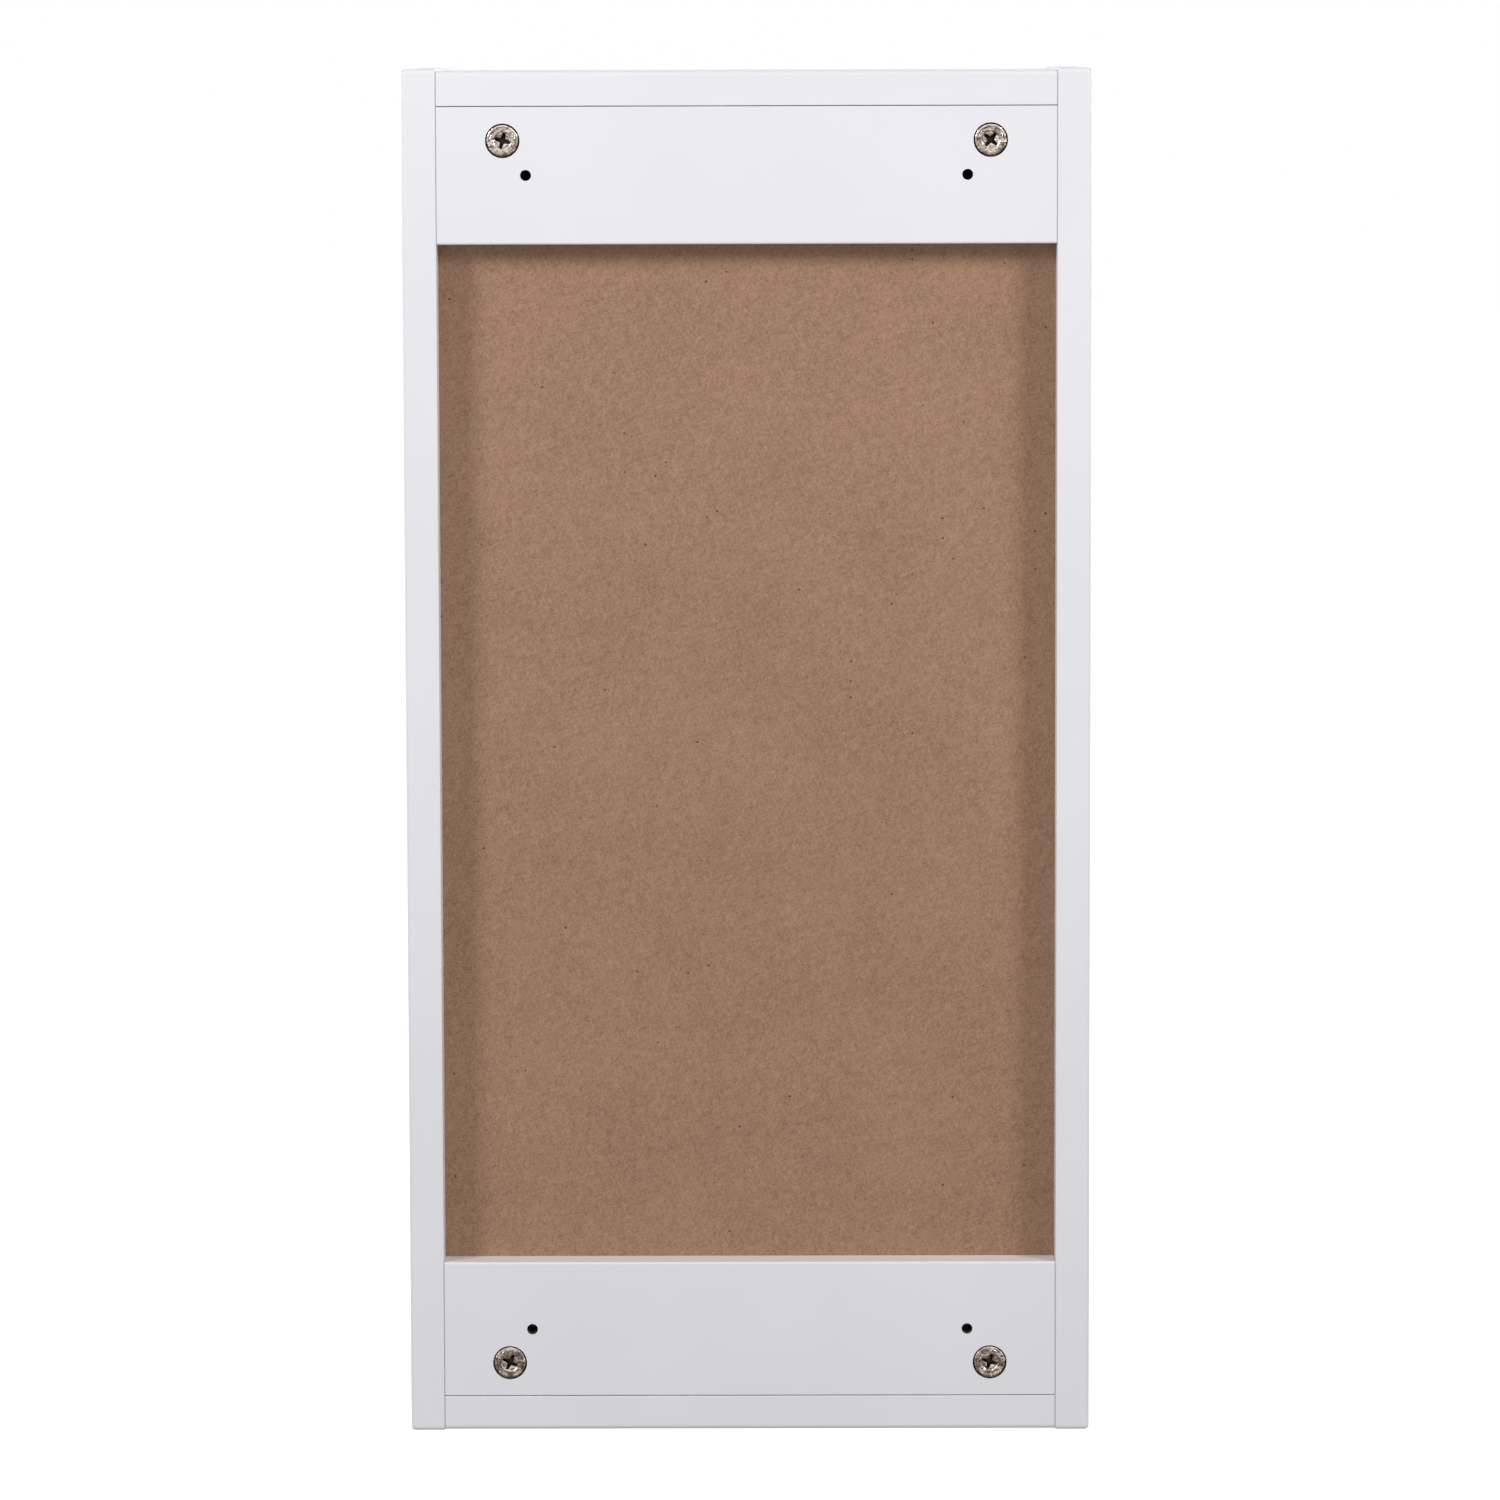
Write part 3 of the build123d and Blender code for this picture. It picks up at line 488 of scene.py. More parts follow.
@dataclass(frozen=True)
class PlatedSteel(Finish):
    """Zinc or nickel plated steel, pressed or turned.

    It is a cool bright metal with fine drawing lines and a slight variation of gloss.
    """

    metallic: float = 1.0
    worn: str = "9EA0A3"
    line_mm: float = 0.35
    line_depth_mm: float = 0.006
    stretch: Triple = (1.0, 1.0, 0.06)
    cloud_mm: float = 9.0
    cloud_span: Span = (0.35, 0.65)
    gloss_span: Span = (-0.06, 0.1)

    def detail(self, tree: NodeTree, shader: Node) -> None:
        """Add drawing lines and a cloud in tone and gloss.

        Args:
            tree: The material's nodes.
            shader: The shader to feed.
        """
        place = add(tree, "TexCoord").outputs["Object"]
        drawn = add(tree, "Mapping", {"Vector": place, "Scale": self.stretch})
        line = add(tree, "TexNoise", {"Vector": drawn, "Scale": scale(self.line_mm), "Detail": 2.0})
        cloud = add(tree, "TexNoise", {
            "Vector": place, "Scale": scale(self.cloud_mm), "Detail": 3.0,
        })
        tones = zip(self.cloud_span, (self.worn, self.colour))
        tone = add(tree, "ValToRGB", {"Fac": cloud}, tones)
        gloss = add(tree, "MapRange", {"Value": cloud, **self.gloss_ends()})
        bump = add(tree, "Bump", {"Height": line, "Distance": self.line_depth_mm * MM})
        fill(shader, {"Base Color": tone, "Roughness": gloss, "Normal": bump})


@dataclass(frozen=True)
class PolishedCoat(Finish):
    """A mirror bright surface: chrome plate, or silver behind float glass.

    It reflects sharply, with the faint smears that hands and wiping leave.
    """

    metallic: float = 1.0
    smear: str = "E7EBE9"
    smear_mm: float = 55.0
    smear_span: Span = (0.45, 0.75)
    gloss_span: Span = (0.0, 0.008)

    def detail(self, tree: NodeTree, shader: Node) -> None:
        """Add wiping smears to the gloss and a trace to the tone.

        Args:
            tree: The material's nodes.
            shader: The shader to feed.
        """
        place = add(tree, "TexCoord").outputs["Object"]
        smear = add(tree, "TexNoise", {
            "Vector": place, "Scale": scale(self.smear_mm), "Detail": 6.0, "Distortion": 1.2,
        })
        low, high = self.smear_span
        gloss = add(tree, "MapRange", {
            "Value": smear, "From Min": low, "From Max": high, **self.gloss_ends(),
        })
        tones = ((low, self.colour), (high, self.smear))
        tone = add(tree, "ValToRGB", {"Fac": smear}, tones)
        fill(shader, {"Base Color": tone, "Roughness": gloss})


@dataclass(frozen=True)
class MouldedPlastic(Finish):
    """Injection moulded plastic with a fine spark eroded texture.

    It is even in colour, with grain just large enough to break up a highlight.
    """

    shade: str = "D9D9DB"
    grain_mm: float = 0.35
    grain_depth_mm: float = 0.01
    cloud_mm: float = 8.0
    cloud_span: Span = (0.35, 0.65)

    def detail(self, tree: NodeTree, shader: Node) -> None:
        """Add the moulding grain and a faint cloud of tone.

        Args:
            tree: The material's nodes.
            shader: The shader to feed.
        """
        place = add(tree, "TexCoord").outputs["Object"]
        grain, cloud = [
            add(tree, "TexNoise", {"Vector": place, "Scale": scale(size), "Detail": 2.0})
            for size in (self.grain_mm, self.cloud_mm)
        ]
        tones = zip(self.cloud_span, (self.shade, self.colour))
        tone = add(tree, "ValToRGB", {"Fac": cloud}, tones)
        bump = add(tree, "Bump", {"Height": grain, "Distance": self.grain_depth_mm * MM})
        fill(shader, {"Base Color": tone, "Normal": bump})


@dataclass(frozen=True)
class ClearRubber(Finish):
    """Cast polyurethane bumper: clear, soft and slightly misty."""

    ior: float = 1.48
    mist_mm: float = 1.5
    gloss_span: Span = (-0.05, 0.15)
    transmission: float = 0.75

    def detail(self, tree: NodeTree, shader: Node) -> None:
        """Let light through and add the mist of its skin.

        Args:
            tree: The material's nodes.
            shader: The shader to feed.
        """
        place = add(tree, "TexCoord").outputs["Object"]
        mist = add(tree, "TexNoise", {"Vector": place, "Scale": scale(self.mist_mm), "Detail": 2.0})
        gloss = add(tree, "MapRange", {"Value": mist, **self.gloss_ends()})
        fill(shader, {"Transmission Weight": self.transmission, "Roughness": gloss})


@dataclass(frozen=True)
class Beech(Finish):
    """Turned beech dowel: pale pink brown, with short dark pores along the grain."""

    pore: str = "9A6B45"
    pore_mm: float = 0.5
    pore_span: Span = (0.12, 0.3)
    pore_depth_mm: float = 0.05
    ring_mm: float = 2.4
    stretch: Triple = (0.12, 1.0, 1.0)

    def detail(self, tree: NodeTree, shader: Node) -> None:
        """Add pores drawn out along the dowel and the slow change of its growth rings.

        Args:
            tree: The material's nodes.
            shader: The shader to feed.
        """
        place = add(tree, "TexCoord").outputs["Object"]
        along = add(tree, "Mapping", {"Vector": place, "Scale": self.stretch})
        pore, ring = [
            add(tree, "TexNoise", {"Vector": along, "Scale": scale(size), "Detail": 2.0})
            for size in (self.pore_mm, self.ring_mm)
        ]
        grain = add(tree, "Math", {0: pore, 1: ring}, operation="MULTIPLY")
        tone = add(tree, "ValToRGB", {"Fac": grain}, zip(self.pore_span, (self.pore, self.colour)))
        bump = add(tree, "Bump", {"Height": grain, "Distance": self.pore_depth_mm * MM})
        fill(shader, {"Base Color": tone, "Normal": bump})


# Finishes by the record's material slots, with what each real surface gives the eye.
FINISHES: dict[str, Finish] = {
    # Sprayed fibreboard: cool white, softly shiny.
    "lacquered_board": SatinLacquer("satin_lacquer", "EBEAED", 0.36),
    # Bare hardboard: matt brown felt.
    "raw_fibreboard": RawFibreboard("raw_fibreboard", "9D7A61", 0.86),
    # Plated zinc casting: warm grey, with small sharp highlights.
    "cam_zinc": CastZinc("cast_zinc", "E4D8D1", 0.13),
    # Zinc plated turned steel: cool grey, with lines along its length.
    "bolt_steel": PlatedSteel("zinc_plated_bolt_steel", "C6C8CB", 0.28, stretch=(0.06, 1.0, 1.0)),
    # Turned beech: dry, pale and fine pored.
    "dowel_beech": Beech("turned_beech", "D6AE84", 0.6),
    # Moulded polyethylene: white and waxy.
    "cap_plastic": MouldedPlastic("white_polyethylene", "ECECEE", 0.42),
    # Nickel plated turned steel: warm and bright.
    "pin_steel": PlatedSteel("nickel_plated_pin_steel", "CFCBC4", 0.22, stretch=(0.06, 1.0, 1.0)),
    # Silvered float glass: a clear reflection with a trace of green.
    "mirror_silver": PolishedCoat("silvered_float_glass", "E8ECEA", 0.015),
    # Polyethylene foam: matt grey, with open cells.
    "foam_tape": MouldedPlastic(
        "polyethylene_foam", "C9C9C6", 0.85, shade="B9B9B6", grain_depth_mm=0.08
    ),
    # Chrome plate: sharp reflections with finger smears.
    "knob_chrome": PolishedCoat(
        "chrome_plate", "D9DBDD", 0.05, gloss_span=(0.0, 0.05), smear="C9CBCD", smear_mm=9.0
    ),
    # Zinc plated rolled thread: cool grey, with no direction.
    "screw_steel": PlatedSteel("zinc_plated_screw_steel", "C4C6C9", 0.3, stretch=(1.0, 1.0, 1.0)),
    # Cast polyurethane: clear and misty.
    "bumper_silicone": ClearRubber("clear_polyurethane", "F2F3F3", 0.2),
    # Nickel plated strip: warm and bright, with rolling lines.
    "hinge_steel": PlatedSteel("nickel_plated_hinge_steel", "CDCAC4", 0.24),
    # Moulded nylon: white, with a fine grain.
    "catch_plastic": MouldedPlastic("white_nylon", "E6E6E8", 0.45),
    # Sintered ferrite: nearly black and matt.
    "magnet_ferrite": MouldedPlastic("ferrite", "3A3A3C", 0.6, shade="2C2C2E", grain_depth_mm=0.03),
    # Nickel plated strip, flat and bright.
    "strike_steel": PlatedSteel("nickel_plated_strike_steel", "D0CEC9", 0.2),
}
# Ground glass: a misty green edge.
GLASS_EDGE = MouldedPlastic(
    "ground_glass_edge", "A9C6BA", 0.35, shade="93B5A8", grain_depth_mm=0.004
)
# The unpolished casting inside a recess: dark, because little light reaches it.
CROSS_RECESS = CastZinc("cast_zinc_recess", "594E48", 0.55, hollow_tone="453C37")
# The grey paint that seals the silver from behind: flat and matt.
MIRROR_PAINT = MouldedPlastic("mirror_back_paint", "6F7478", 0.7, shade="666B6F")


class Palette:
    """The materials of the cabinet, each made once and handed out by its slot."""

    coat_mm = 0.65
    butted = ("top_panel", "bottom_panel", "upper_rear_rail", "lower_rear_rail")

    def __init__(self) -> None:
        """Make every slot's material."""
        self.by_slot = {slot: finish.make() for slot, finish in FINISHES.items()}
        self.glass_edge = GLASS_EDGE.make()
        self.mirror_paint = MIRROR_PAINT.make()
        self.cross_recess = CROSS_RECESS.make()

    def dress(self, body: Body, inverted: bool = False) -> None:
        """Give a body's CAD nodes the material of the slot that they were packed with.

        Args:
            body: The body that carries them.
            inverted: Whether to dress the nodes of every other body instead.
        """
        for name, node in frame["nodes"].items():
            if (node["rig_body"] == body.value) == inverted:
                continue
            for held in node.material_slots:
                slot = held.material.name.split(".")[0]
                lacquered = slot == "lacquered_board"
                held.material = self.board(name) if lacquered else self.by_slot[slot]

    def board(self, name: str) -> Material:
        """Make the lacquer of one board, with raw walls in the cuts inside its box.

        Args:
            name: The board's node.

        Returns:
            Its material.
        """
        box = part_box(name)
        coat = Vector((self.coat_mm,) * 3) * MM
        low, high = box[0] + coat, box[1] - coat
        if name == "door_panel":
            # The mirror's pocket is lacquered with the front, and only the holes behind are raw.
            low.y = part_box("mirror_tape")[1].y + self.coat_mm * MM / 2
        lacquer = FINISHES["lacquered_board"]
        return replace(
            lacquer, name=f"{lacquer.name}_{name}", raw_low=tuple(low), raw_high=tuple(high),
            # Boards that butt against the sides get the painted shade line at their ends.
            joint_x=box[1].x if name in self.butted else 0.0,
        ).make()


def box_mm(node: str) -> list[Vector]:
    """Give a CAD node's lowest and highest corners in millimetres."""
    return [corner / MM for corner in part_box(node)]


def put(name: str, data: bpy.types.ID) -> bpy.types.Object:
    """Make an object of its data and link it to the scene.

    Args:
        name: The object's name.
        data: Its mesh, lamp or camera.

    Returns:
        The object, at the origin.
    """
    made = bpy.data.objects.new(name, data)
    bpy.context.scene.collection.objects.link(made)
    return made


def settle(
    shape: BMesh,
    name: str,
    materials: Sequence[Material],
    body: Body,
    stands_for: Sequence[str],
    sharp_deg: float = 35.0,
) -> None:
    """Turn a shape in millimetres into a piece that rides on a body.

    Args:
        shape: The finished shape, in millimetres in the cabinet's frame.
        name: The piece's name.
        materials: Its materials, in the order of the faces' numbers.
        body: The body that carries it.
        stands_for: CAD nodes that it replaces.
        sharp_deg: The angle from which an edge stays sharp.
    """
    bmesh.ops.remove_doubles(shape, verts=shape.verts, dist=MERGE_MM)
    bmesh.ops.recalc_face_normals(shape, faces=shape.faces)
    bmesh.ops.scale(shape, verts=shape.verts, vec=(MM, MM, MM))
    for face in shape.faces:
        face.smooth = True
    mesh = bpy.data.meshes.new(name)
    shape.to_mesh(mesh)
    shape.free()
    mesh.set_sharp_from_angle(angle=math.radians(sharp_deg))
    for material in materials:
        mesh.materials.append(material)
    piece = put(name, mesh)
    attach(piece, body.value)
    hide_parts(*stands_for)
    LOG.info("%s: %d faces on %s", name, len(mesh.polygons), body.value)


def gather(whole: BMesh, part: BMesh) -> None:
    """Move a part's faces into a whole.

    Args:
        whole: The shape that grows.
        part: The shape that is used up.
    """
    held = bpy.data.meshes.new("part")
    part.to_mesh(held)
    part.free()
    whole.from_mesh(held)
    bpy.data.meshes.remove(held)


def pick(geom: Iterable[Any], kind: type) -> list[Any]:
    """Pick what is of one kind, such as vertices, out of what an operator made."""
    return [item for item in geom if isinstance(item, kind)]


def draw(
    shape: BMesh, places: Iterable[Sequence[float]], closed: bool = False
) -> tuple[list[BMVert], list[BMEdge]]:
    """Draw a line of vertices and edges.

    Args:
        shape: The shape that gets it.
        places: The line's points in millimetres.
        closed: Whether its last point joins its first.

    Returns:
        The vertices and the edges.
    """
    line = [shape.verts.new(place) for place in places]
    pairs = zip(line[-1:] + line, line) if closed else zip(line, line[1:])
    return line, [shape.edges.new(pair) for pair in pairs]


def spin(shape: BMesh, profile: list[Any], sides: int) -> None:
    """Turn a profile in the XZ plane one full turn about the Z axis.

    Args:
        shape: The shape that holds the profile.
        profile: The profile's vertices and edges.
        sides: The number of sides of the round.
    """
    bmesh.ops.spin(
        shape, geom=profile, cent=(0, 0, 0), axis=(0, 0, 1), angle=math.tau,
        steps=sides, use_merge=True, use_duplicate=False,
    )


def soften(
    shape: BMesh,
    geom: list[Any],
    offset: float,
    segments: int,
    affect: str = "EDGES",
    material: int = -1,
) -> None:
    """Round edges or corners off.

    Args:
        shape: The shape that holds them.
        geom: The edges or vertices.
        offset: How far from them the round begins, in millimetres.
        segments: The number of steps of the round.
        affect: What is rounded, "EDGES" or "VERTICES".
        material: The new faces' material number, or -1 for their neighbours'.
    """
    bmesh.ops.bevel(
        shape, geom=geom, offset=offset, offset_type="OFFSET", affect=affect,
        segments=segments, profile=0.5, material=material,
    )


@dataclass
class CamLock:
    """A cam lock of die cast zinc, from its face: a rim, a dished middle and a cross recess."""

    radius: float = 6.9
    depth: float = 12.2
    rim_width: float = 0.85
    rim_round: float = 0.35
    # How far in the middle of a round lies, as a share of its radius.
    round_share: float = 0.3
    groove_width: float = 0.3
    groove_drop: float = 0.55
    land_width: float = 1.4
    land_drop: float = 0.38
    dish_drop: float = 0.6
    dish_width: float = 0.4
    arrow_length: float = 1.7
    arrow_width: float = 2.6
    arrow_tip: float = 5.35
    arrow_rise: float = 0.55
    arrow_root: float = 0.2
    arrow_taper: float = 0.7
    cross_length: float = 7.0
    cross_width: float = 1.1
    cross_waist: float = 0.95
    cross_depth: float = 3.0
    cross_taper: float = 0.55
    cross_round: float = 0.18
    sides: int = 72

    def shape(self, turn_deg: float) -> BMesh:
        """Build the lock with its face on z = 0 and its cross turned.

        Args:
            turn_deg: The cross recess's turn, counter-clockwise seen on the face.

        Returns:
            The closed shape in millimetres.
        """
        shape = bmesh.new()
        curve = self.rim_round * self.round_share
        inner = self.radius - self.rim_width
        land = inner - 2 * self.groove_width
        dish = land - self.land_width
        profile = [
            (0.0, -self.depth),
            (self.radius, -self.depth),
            (self.radius, -self.rim_round),
            (self.radius - curve, -curve),
            (self.radius - self.rim_round, 0.0),
            (inner, 0.0),
            (inner - self.groove_width, -self.groove_drop),
            (land, -self.land_drop),
            (dish, -self.land_drop),
            (dish - self.dish_width, -self.dish_drop),
        ]
        line, edges = draw(shape, [(r, 0.0, z) for r, z in profile])
        spin(shape, line + edges, self.sides)
        bmesh.ops.remove_doubles(shape, verts=shape.verts, dist=MERGE_MM)
        self.cross(shape, turn_deg)
        self.arrow(shape, turn_deg)
        return shape

    def cross(self, shape: BMesh, turn_deg: float) -> None:
        """Close the dish with a floor, and sink the cross recess into it.

        Args:
            shape: The lock that gets it.
            turn_deg: Its turn, as the lock's shape takes it.
        """
        ring = [edge for edge in shape.edges if edge.is_boundary]
        half, arm, waist = self.cross_width / 2, self.cross_length / 2, self.cross_waist
        floor = -self.dish_drop
        corner = [(arm, -half, floor), (arm, half, floor), (waist, waist, floor)]
        mouth, rim = draw(shape, [
            Matrix.Rotation(math.radians(turn_deg + quarter), 3, "Z") @ Vector(point)
            for quarter in (0, 90, 180, 270)
            for point in corner
        ], closed=True)
        bmesh.ops.triangle_fill(shape, edges=ring + rim, use_beauty=True)
        walls = bmesh.ops.extrude_edge_only(shape, edges=rim)["geom"]
        for face in pick(walls, BMFace):
            face.material_index = LockFace.RECESS
        deep = pick(walls, BMVert)
        bmesh.ops.scale(shape, verts=deep, vec=(self.cross_taper, self.cross_taper, 1.0))
        bmesh.ops.translate(shape, verts=deep, vec=(0, 0, -self.cross_depth))
        foot = [edge for edge in pick(walls, BMEdge) if edge.is_boundary]
        bmesh.ops.contextual_create(shape, geom=foot, mat_nr=LockFace.RECESS)
        held = set(mouth)
        lips = [e for e in shape.edges if held.issuperset(e.verts) and len(e.link_faces) == 2]
        soften(shape, lips, self.cross_round, segments=2)

    def arrow(self, shape: BMesh, turn_deg: float) -> None:
        """Raise the plain arrowhead that points along one arm of the cross, to the bolt.

        Args:
            shape: The lock that gets it.
            turn_deg: Its turn, as the lock's shape takes it.
        """
        turn = Matrix.Rotation(math.radians(turn_deg), 3, "Z")
        foot = -self.dish_drop - self.arrow_root
        back, half = self.arrow_tip - self.arrow_length, self.arrow_width / 2
        corners = [(self.arrow_tip, 0.0), (back, half), (back, -half)]
        base = shape.faces.new([shape.verts.new(turn @ Vector((x, y, foot))) for x, y in corners])
        raised = bmesh.ops.extrude_face_region(shape, geom=[base], use_keep_orig=True)["geom"]
        top = pick(raised, BMVert)
        bmesh.ops.translate(shape, verts=top, vec=(0, 0, self.arrow_rise + self.arrow_root))
        middle = sum((v.co for v in top), Vector()) / len(top)
        bmesh.ops.scale(
            shape, verts=top, vec=(self.arrow_taper, self.arrow_taper, 1.0),
            space=Matrix.Translation(-middle),
        )


@dataclass
class Carcass:
    """Panels, rails, back panel, shelves and their fittings."""

    palette: Palette
    lock: CamLock = field(default_factory=CamLock)
    cad_radius: float = 7.2
    # Turn of each rear lock's cross, as it was left when the cabinet was put together.
    turns: dict[tuple[int, int], float] = field(
        default_factory=lambda: {(1, 1): 165.0, (-1, 1): 230.0, (1, -1): -25.0, (-1, -1): 253.0}
    )

    def build(self) -> None:
        """Dress the nodes of the carcass and its shelves, and add the rear cam locks."""
        self.palette.dress(Body.DOOR, inverted=True)
        self.rear_locks()

    def rear_locks(self) -> None:
        """Build the four cam locks in the rear rails, each with its own turn."""
        low, high = box_mm("rail_cam_locks")
        # The box is that of the CAD locks, which have the pieces' centres and a larger radius.
        reach = self.cad_radius
        shape = bmesh.new()
        for (end, level), turn in self.turns.items():
            x = end * (high.x - reach)
            z = (high.z if level > 0 else low.z) - level * reach
            # The face looks to the wall: local x towards -X and local y upwards.
            face = Matrix(((-1, 0, 0, x), (0, 0, 1, high.y), (0, 1, 0, z), (0, 0, 0, 1)))
            lock = self.lock.shape(turn)
            lock.transform(face)
            gather(shape, lock)
        materials = [self.palette.by_slot["cam_zinc"], self.palette.cross_recess]
        settle(
            shape, "rear_cam_locks", materials, Body.CARCASS, ["rail_cam_locks"],
            sharp_deg=28.0,
        )


@dataclass
class Door:
    """Door board, mirror, knob, bumpers, strike plate and the door's half of the hinges."""

    palette: Palette
    bevel_width: float = 12.0
    bevel_drop: float = 1.2
    arris: float = 0.25
    # The least angle, in radians, between two faces at the glass's rim.
    rim_angle: float = 1.2
    knob_radius: float = 14.0
    knob_dome: float = 12.0
    knob_neck: float = 4.5
    # The neck's thinnest and thickest radii, as shares of its radius at the foot.
    knob_waist: float = 0.9
    knob_flare: float = 1.3
    knob_foot: float = 8.0
    knob_foot_length: float = 3.0
    knob_round: float = 1.2
    knob_sides: int = 96

    def build(self) -> None:
        """Dress the door's nodes, set the bevelled mirror and fit the knob."""
        self.palette.dress(Body.DOOR)
        self.mirror()
        self.knob()

    def knob(self) -> None:
        """Build the turned knob: a round foot, a waisted neck and a domed head."""
        low, high = box_mm("knob")
        middle = high.y - low.y - self.knob_dome / 2
        shape = bmesh.new()
        line, _ = draw(shape, [
            (0.0, 0.0, 0.0),
            (self.knob_foot, 0.0, 0.0),
            (self.knob_foot, 0.0, self.knob_foot_length),
            (self.knob_neck, 0.0, self.knob_foot_length + self.knob_round),
            (self.knob_neck * self.knob_waist, 0.0, middle / 2),
            (self.knob_neck * self.knob_flare, 0.0, middle),
            (0.0, 0.0, middle),
        ])
        soften(shape, line[2:5], self.knob_round, segments=6, affect="VERTICES")
        spin(shape, shape.verts[:] + shape.edges[:], self.knob_sides)
        head = bmesh.ops.create_uvsphere(
            shape, u_segments=self.knob_sides, v_segments=self.knob_sides // 2,
            radius=self.knob_radius,
        )["verts"]
        bmesh.ops.scale(shape, verts=head, vec=(1.0, 1.0, self.knob_dome / 2 / self.knob_radius))
        bmesh.ops.translate(shape, verts=head, vec=(0, 0, middle))
        # The knob grows out of the door: its length runs towards -Y.
        x, z = (low.x + high.x) / 2, (low.z + high.z) / 2
        shape.transform(Matrix(((1, 0, 0, x), (0, 0, -1, high.y), (0, 1, 0, z), (0, 0, 0, 1))))
        materials = [self.palette.by_slot["knob_chrome"]]
        settle(shape, "turned_knob", materials, Body.DOOR, ["knob"])

    def mirror(self) -> None:
        """Build the mirror: a silvered face and bevel, ground glass edges and a painted back."""
        low, high = box_mm("mirror_glass")
        slope_depth = Vector((0, self.bevel_drop, 0))
        shape = bmesh.new()
        bmesh.ops.create_cube(shape, size=1.0)
        bmesh.ops.scale(shape, verts=shape.verts, vec=high - low - slope_depth)
        bmesh.ops.translate(shape, verts=shape.verts, vec=(low + high) / 2 + slope_depth / 2)
        shape.normal_update()
        front = next(face for face in shape.faces if face.normal.y < -FACING)
        back = next(face for face in shape.faces if face.normal.y > FACING)
        for face in shape.faces:
            face.material_index = MirrorFace.GROUND
        front.material_index = MirrorFace.SILVER
        back.material_index = MirrorFace.PAINT
        slope = bmesh.ops.inset_region(
            shape, faces=[front], thickness=self.bevel_width, depth=self.bevel_drop,
        )["faces"]
        for face in slope:
            face.material_index = MirrorFace.SILVER
        rim = [e for e in shape.edges if abs(e.calc_face_angle(0.0)) > self.rim_angle]
        soften(shape, rim, self.arris, segments=2, material=MirrorFace.GROUND)
        paints = self.palette
        materials = [paints.by_slot["mirror_silver"], paints.glass_edge, paints.mirror_paint]
        settle(
            shape, "bevelled_mirror", materials, Body.DOOR, ["mirror_glass"],
            sharp_deg=3.0,
        )


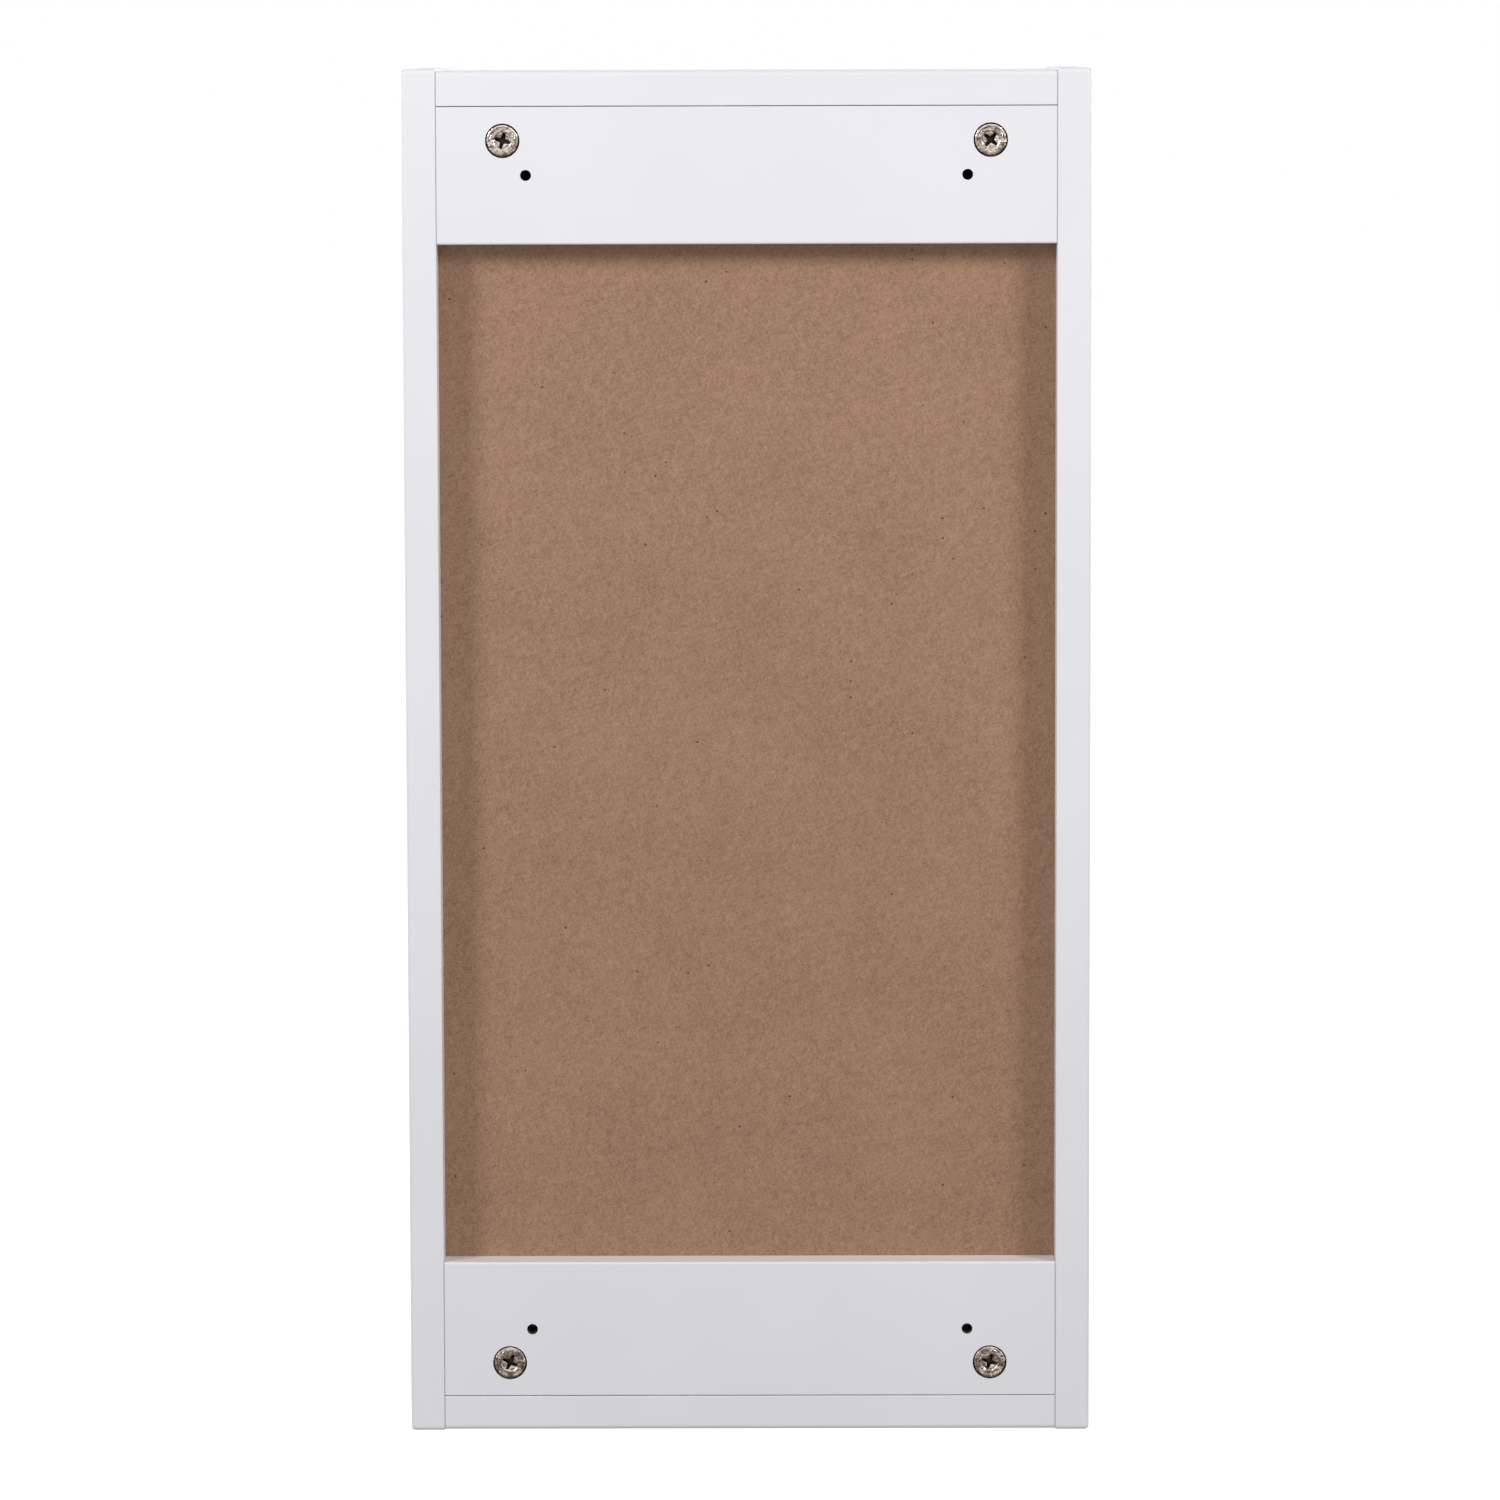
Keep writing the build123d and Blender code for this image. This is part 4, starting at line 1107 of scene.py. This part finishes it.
@dataclass
class HingeArms:
    """The folded steel arms of both cup hinges: an eye, a bent neck and a channel on the plate."""

    palette: Palette
    barrel: float = 4.6
    hole: float = 2.6
    eye_sides: int = 32
    strip: float = 1.8
    neck_width: float = 10.0
    neck_bend: float = 4.0
    body_setback: float = 18.3
    body_height: float = 5.9
    body_round: float = 1.7
    wall: float = 1.5

    def build(self) -> None:
        """Fold the lower and the upper arm."""
        for node in ("lower_hinge_arm", "upper_hinge_arm"):
            self.fold(node)

    def fold(self, node: str) -> None:
        """Build one arm in the place of its plain solid.

        Args:
            node: The solid that it replaces.
        """
        low, high = box_mm(node)
        half = self.barrel / 2
        pivot = Vector((low.x + half, low.y + half, (low.z + high.z) / 2))
        front_y = low.y + self.body_setback
        shape = self.eye(pivot)
        gather(shape, self.neck(pivot, high.x, front_y))
        size = Vector((self.body_height, high.y - front_y, high.z - low.z))
        gather(shape, self.channel(high - size / 2, size))
        settle(
            shape, f"folded_{node}", [self.palette.by_slot["hinge_steel"]], Body.CARCASS,
            [node], sharp_deg=50.0,
        )

    def eye(self, pivot: Vector) -> BMesh:
        """Roll the eye that turns on the pin.

        Args:
            pivot: The middle of the pin.

        Returns:
            The eye in millimetres.
        """
        shape = bmesh.new()
        inner, outer, half = self.hole / 2, self.barrel / 2, self.neck_width / 2
        corners = ((inner, -half), (outer, -half), (outer, half), (inner, half))
        ring, edges = draw(shape, [(r, 0.0, z) for r, z in corners], closed=True)
        spin(shape, ring + edges, self.eye_sides)
        bmesh.ops.translate(shape, verts=shape.verts, vec=pivot)
        return shape

    def neck(self, pivot: Vector, top_x: float, front_y: float) -> BMesh:
        """Bend the strip from the eye round the carcass's edge to the channel.

        Args:
            pivot: The middle of the pin.
            top_x: The arm's outer face.
            front_y: The channel's front end.

        Returns:
            The neck in millimetres.
        """
        shape = bmesh.new()
        face_y, foot_z = pivot.y - self.strip / 2, pivot.z - self.neck_width / 2
        line, _ = draw(shape, [
            (pivot.x, face_y, foot_z),
            (top_x, face_y, foot_z),
            # The strip runs on under the channel's front end.
            (top_x, front_y + 2 * self.wall, foot_z),
        ])
        soften(shape, [line[1]], self.neck_bend, segments=8, affect="VERTICES")
        drawn = bmesh.ops.extrude_edge_only(shape, edges=shape.edges[:])["geom"]
        far = pick(drawn, BMVert)
        bmesh.ops.translate(shape, verts=far, vec=(0, 0, self.neck_width))
        bmesh.ops.recalc_face_normals(shape, faces=shape.faces)
        self.thicken(shape, self.strip, Vector((pivot.x, front_y, pivot.z)))
        return shape

    def channel(self, centre: Vector, size: Vector) -> BMesh:
        """Press the channel that sits over the plate, open towards the side panel.

        Args:
            centre: Its middle.
            size: Its height, length and width.

        Returns:
            The channel in millimetres.
        """
        shape = bmesh.new()
        place = Matrix.Translation(centre) @ Matrix.Diagonal((*size, 1.0))
        bmesh.ops.create_cube(shape, size=1.0, matrix=place)
        shape.normal_update()
        under = next(face for face in shape.faces if face.normal.x < -FACING)
        bmesh.ops.delete(shape, geom=[under], context="FACES_ONLY")
        folds = [edge for edge in shape.edges if not edge.is_boundary]
        soften(shape, folds, self.body_round, segments=4)
        self.thicken(shape, self.wall, centre)
        return shape

    def thicken(self, shape: BMesh, gauge: float, inner: Vector) -> None:
        """Give a sheet its thickness on the side of a point.

        Args:
            shape: The sheet.
            gauge: Its thickness.
            inner: A point on the side that the thickness goes to.
        """
        shape.normal_update()
        face = max(shape.faces, key=lambda f: f.calc_area())
        side = 1.0 if face.normal.dot(inner - face.calc_center_median()) < 0 else -1.0
        bmesh.ops.solidify(shape, geom=shape.faces[:], thickness=side * gauge)


@dataclass(frozen=True)
class SoftBox:
    """A soft studio lamp: where it stands, what it is aimed at, its side and its power."""

    name: str
    place: Triple
    aim: Triple
    side: float
    power: float

    def light(self) -> None:
        """Hang the lamp."""
        lamp = bpy.data.lights.new(self.name, "AREA")
        lamp.shape = "SQUARE"
        lamp.size = self.side
        lamp.energy = self.power
        holder = put(self.name, lamp)
        holder.location = self.place
        aim = Vector(self.aim) - Vector(self.place)
        holder.rotation_euler = aim.to_track_quat("-Z", "Y").to_euler()


@dataclass
class Studio:
    """Floor, lamps, the light of the room and the camera. Its lengths are in metres."""

    lamps: tuple[SoftBox, ...] = (
        SoftBox("rear_lamp_left", (1.05, 0.82, 0.68), (0.0, 0.0, 0.0), 0.35, 9.6),
        SoftBox("rear_lamp_right", (-1.05, 0.82, 0.68), (0.0, 0.0, 0.0), 0.35, 9.6),
        SoftBox("front_lamp_left", (-1.3, -1.6, 0.65), (0.0, -0.1, 0.0), 0.8, 18.0),
        SoftBox("front_lamp_right", (1.3, -1.6, 0.65), (0.0, -0.1, 0.0), 0.8, 11.0),
    )
    # Light that falls on the surfaces, from the room's middle height to its ceiling.
    fill_tones: Stops = ((0.55, "FBFBFF"), (0.95, "CACACE"))
    fill_strength: float = 0.53
    # What shiny surfaces mirror, from the floor up: behind the cabinet and in front of it.
    rear_tones: Stops = ((0.41, "736E69"), (0.6, "FFFFFF"), (0.49, "DAD7D4"))
    front_tones: Stops = ((0.25, "9FA3A4"), (0.6, "F2F4F4"), (0.4, "DBDEDE"))
    mirrored_strength: float = 1.2
    front_slant: float = 0.35
    side_blend: float = 0.25
    floor_side: float = 24.0
    floor_colour: str = "F4F4F5"
    floor_glow: float = 0.8
    eye: Triple = (-0.01489, 2.8, 0.31174)
    target: Triple = (-0.0009, 0.0, 0.0361)
    roll_deg: float = -0.156
    lens: float = 154.37
    shift_up: float = -0.05

    def build(self) -> None:
        """Set up the floor, lamps, room light and camera."""
        bpy.context.scene.view_settings.view_transform = "Standard"
        self.floor()
        for lamp in self.lamps:
            lamp.light()
        self.room_light()
        self.camera()

    def floor(self) -> None:
        """Lay a plain pale floor at the cabinet's foot."""
        shape = bmesh.new()
        bmesh.ops.create_grid(shape, x_segments=2, y_segments=2, size=self.floor_side / 2)
        bmesh.ops.translate(shape, verts=shape.verts, vec=(0, 0, CAD_BOX[0].z))
        mesh = bpy.data.meshes.new("pale_floor")
        shape.to_mesh(mesh)
        shape.free()
        # Matt card that glows a little, so that it stays pale in the cabinet's shade.
        material = bpy.data.materials.new("pale_floor")
        material.use_nodes = True
        fill(material.node_tree.nodes["Principled BSDF"], {
            "Base Color": linear(self.floor_colour),
            "Roughness": 0.9,
            "Specular IOR Level": 0.0,
            "Emission Color": linear("FFFFFF"),
            "Emission Strength": self.floor_glow,
        })
        mesh.materials.append(material)
        floor = put("pale_floor", mesh)
        floor.visible_diffuse = False
        floor.visible_glossy = False

    def room_light(self) -> None:
        """Fill the room: white to the eye, softer on surfaces and shaded in reflections."""
        world = bpy.data.worlds.new("studio_room")
        world.use_nodes = True
        tree = world.node_tree
        tree.nodes.clear()
        path = add(tree, "LightPath")
        ray = add(tree, "TexCoord")
        aim = add(tree, "SeparateXYZ", {"Vector": ray.outputs["Generated"]})
        slant = add(tree, "Math", {
            0: aim.outputs["X"], 1: self.front_slant, 2: aim.outputs["Z"],
        }, operation="MULTIPLY_ADD")
        height, lean = [
            add(tree, "MapRange", {"Value": level, "From Min": -1.0, "From Max": 1.0})
            for level in (aim.outputs["Z"], slant)
        ]
        above, rear, front = [
            add(tree, "ValToRGB", {"Fac": level}, tones)
            for level, tones in (
                (height, self.fill_tones), (height, self.rear_tones), (lean, self.front_tones)
            )
        ]
        side = add(tree, "MapRange", {
            "Value": aim.outputs["Y"], "From Min": -self.side_blend, "From Max": self.side_blend,
        })
        walls = add(tree, "MixRGB", {"Fac": side, "Color1": front, "Color2": rear})
        seen, felt, mirrored = [
            add(tree, "Background", {"Color": colour, "Strength": strength})
            for colour, strength in (
                (linear("FFFFFF"), 1.0),
                (above, self.fill_strength),
                (walls, self.mirrored_strength),
            )
        ]
        lit = add(tree, "MixShader", {0: path.outputs["Is Glossy Ray"], 1: felt, 2: mirrored})
        both = add(tree, "MixShader", {0: path.outputs["Is Camera Ray"], 1: lit, 2: seen})
        add(tree, "OutputWorld", {"Surface": both})
        bpy.context.scene.world = world

    def camera(self) -> None:
        """Set the camera where the photograph was taken from: behind the cabinet, at its top."""
        data = bpy.data.cameras.new("camera")
        data.lens = self.lens
        data.shift_y = self.shift_up
        camera = put("camera", data)
        camera.location = self.eye
        look = (Vector(self.target) - Vector(self.eye)).to_track_quat("-Z", "Y")
        roll = Matrix.Rotation(math.radians(self.roll_deg), 3, "Z").to_quaternion()
        camera.rotation_mode = "QUATERNION"
        camera.rotation_quaternion = look @ roll
        bpy.context.scene.camera = camera


def main() -> None:
    """Build the cabinet's looks piece by piece, then the studio round it."""
    logging.basicConfig(level=logging.INFO, format="%(message)s")
    palette = Palette()
    for part in (Carcass(palette), Door(palette), HingeArms(palette), Studio()):
        part.build()
        LOG.info("%s is ready", type(part).__name__)


if __name__ == "__main__":
    main()
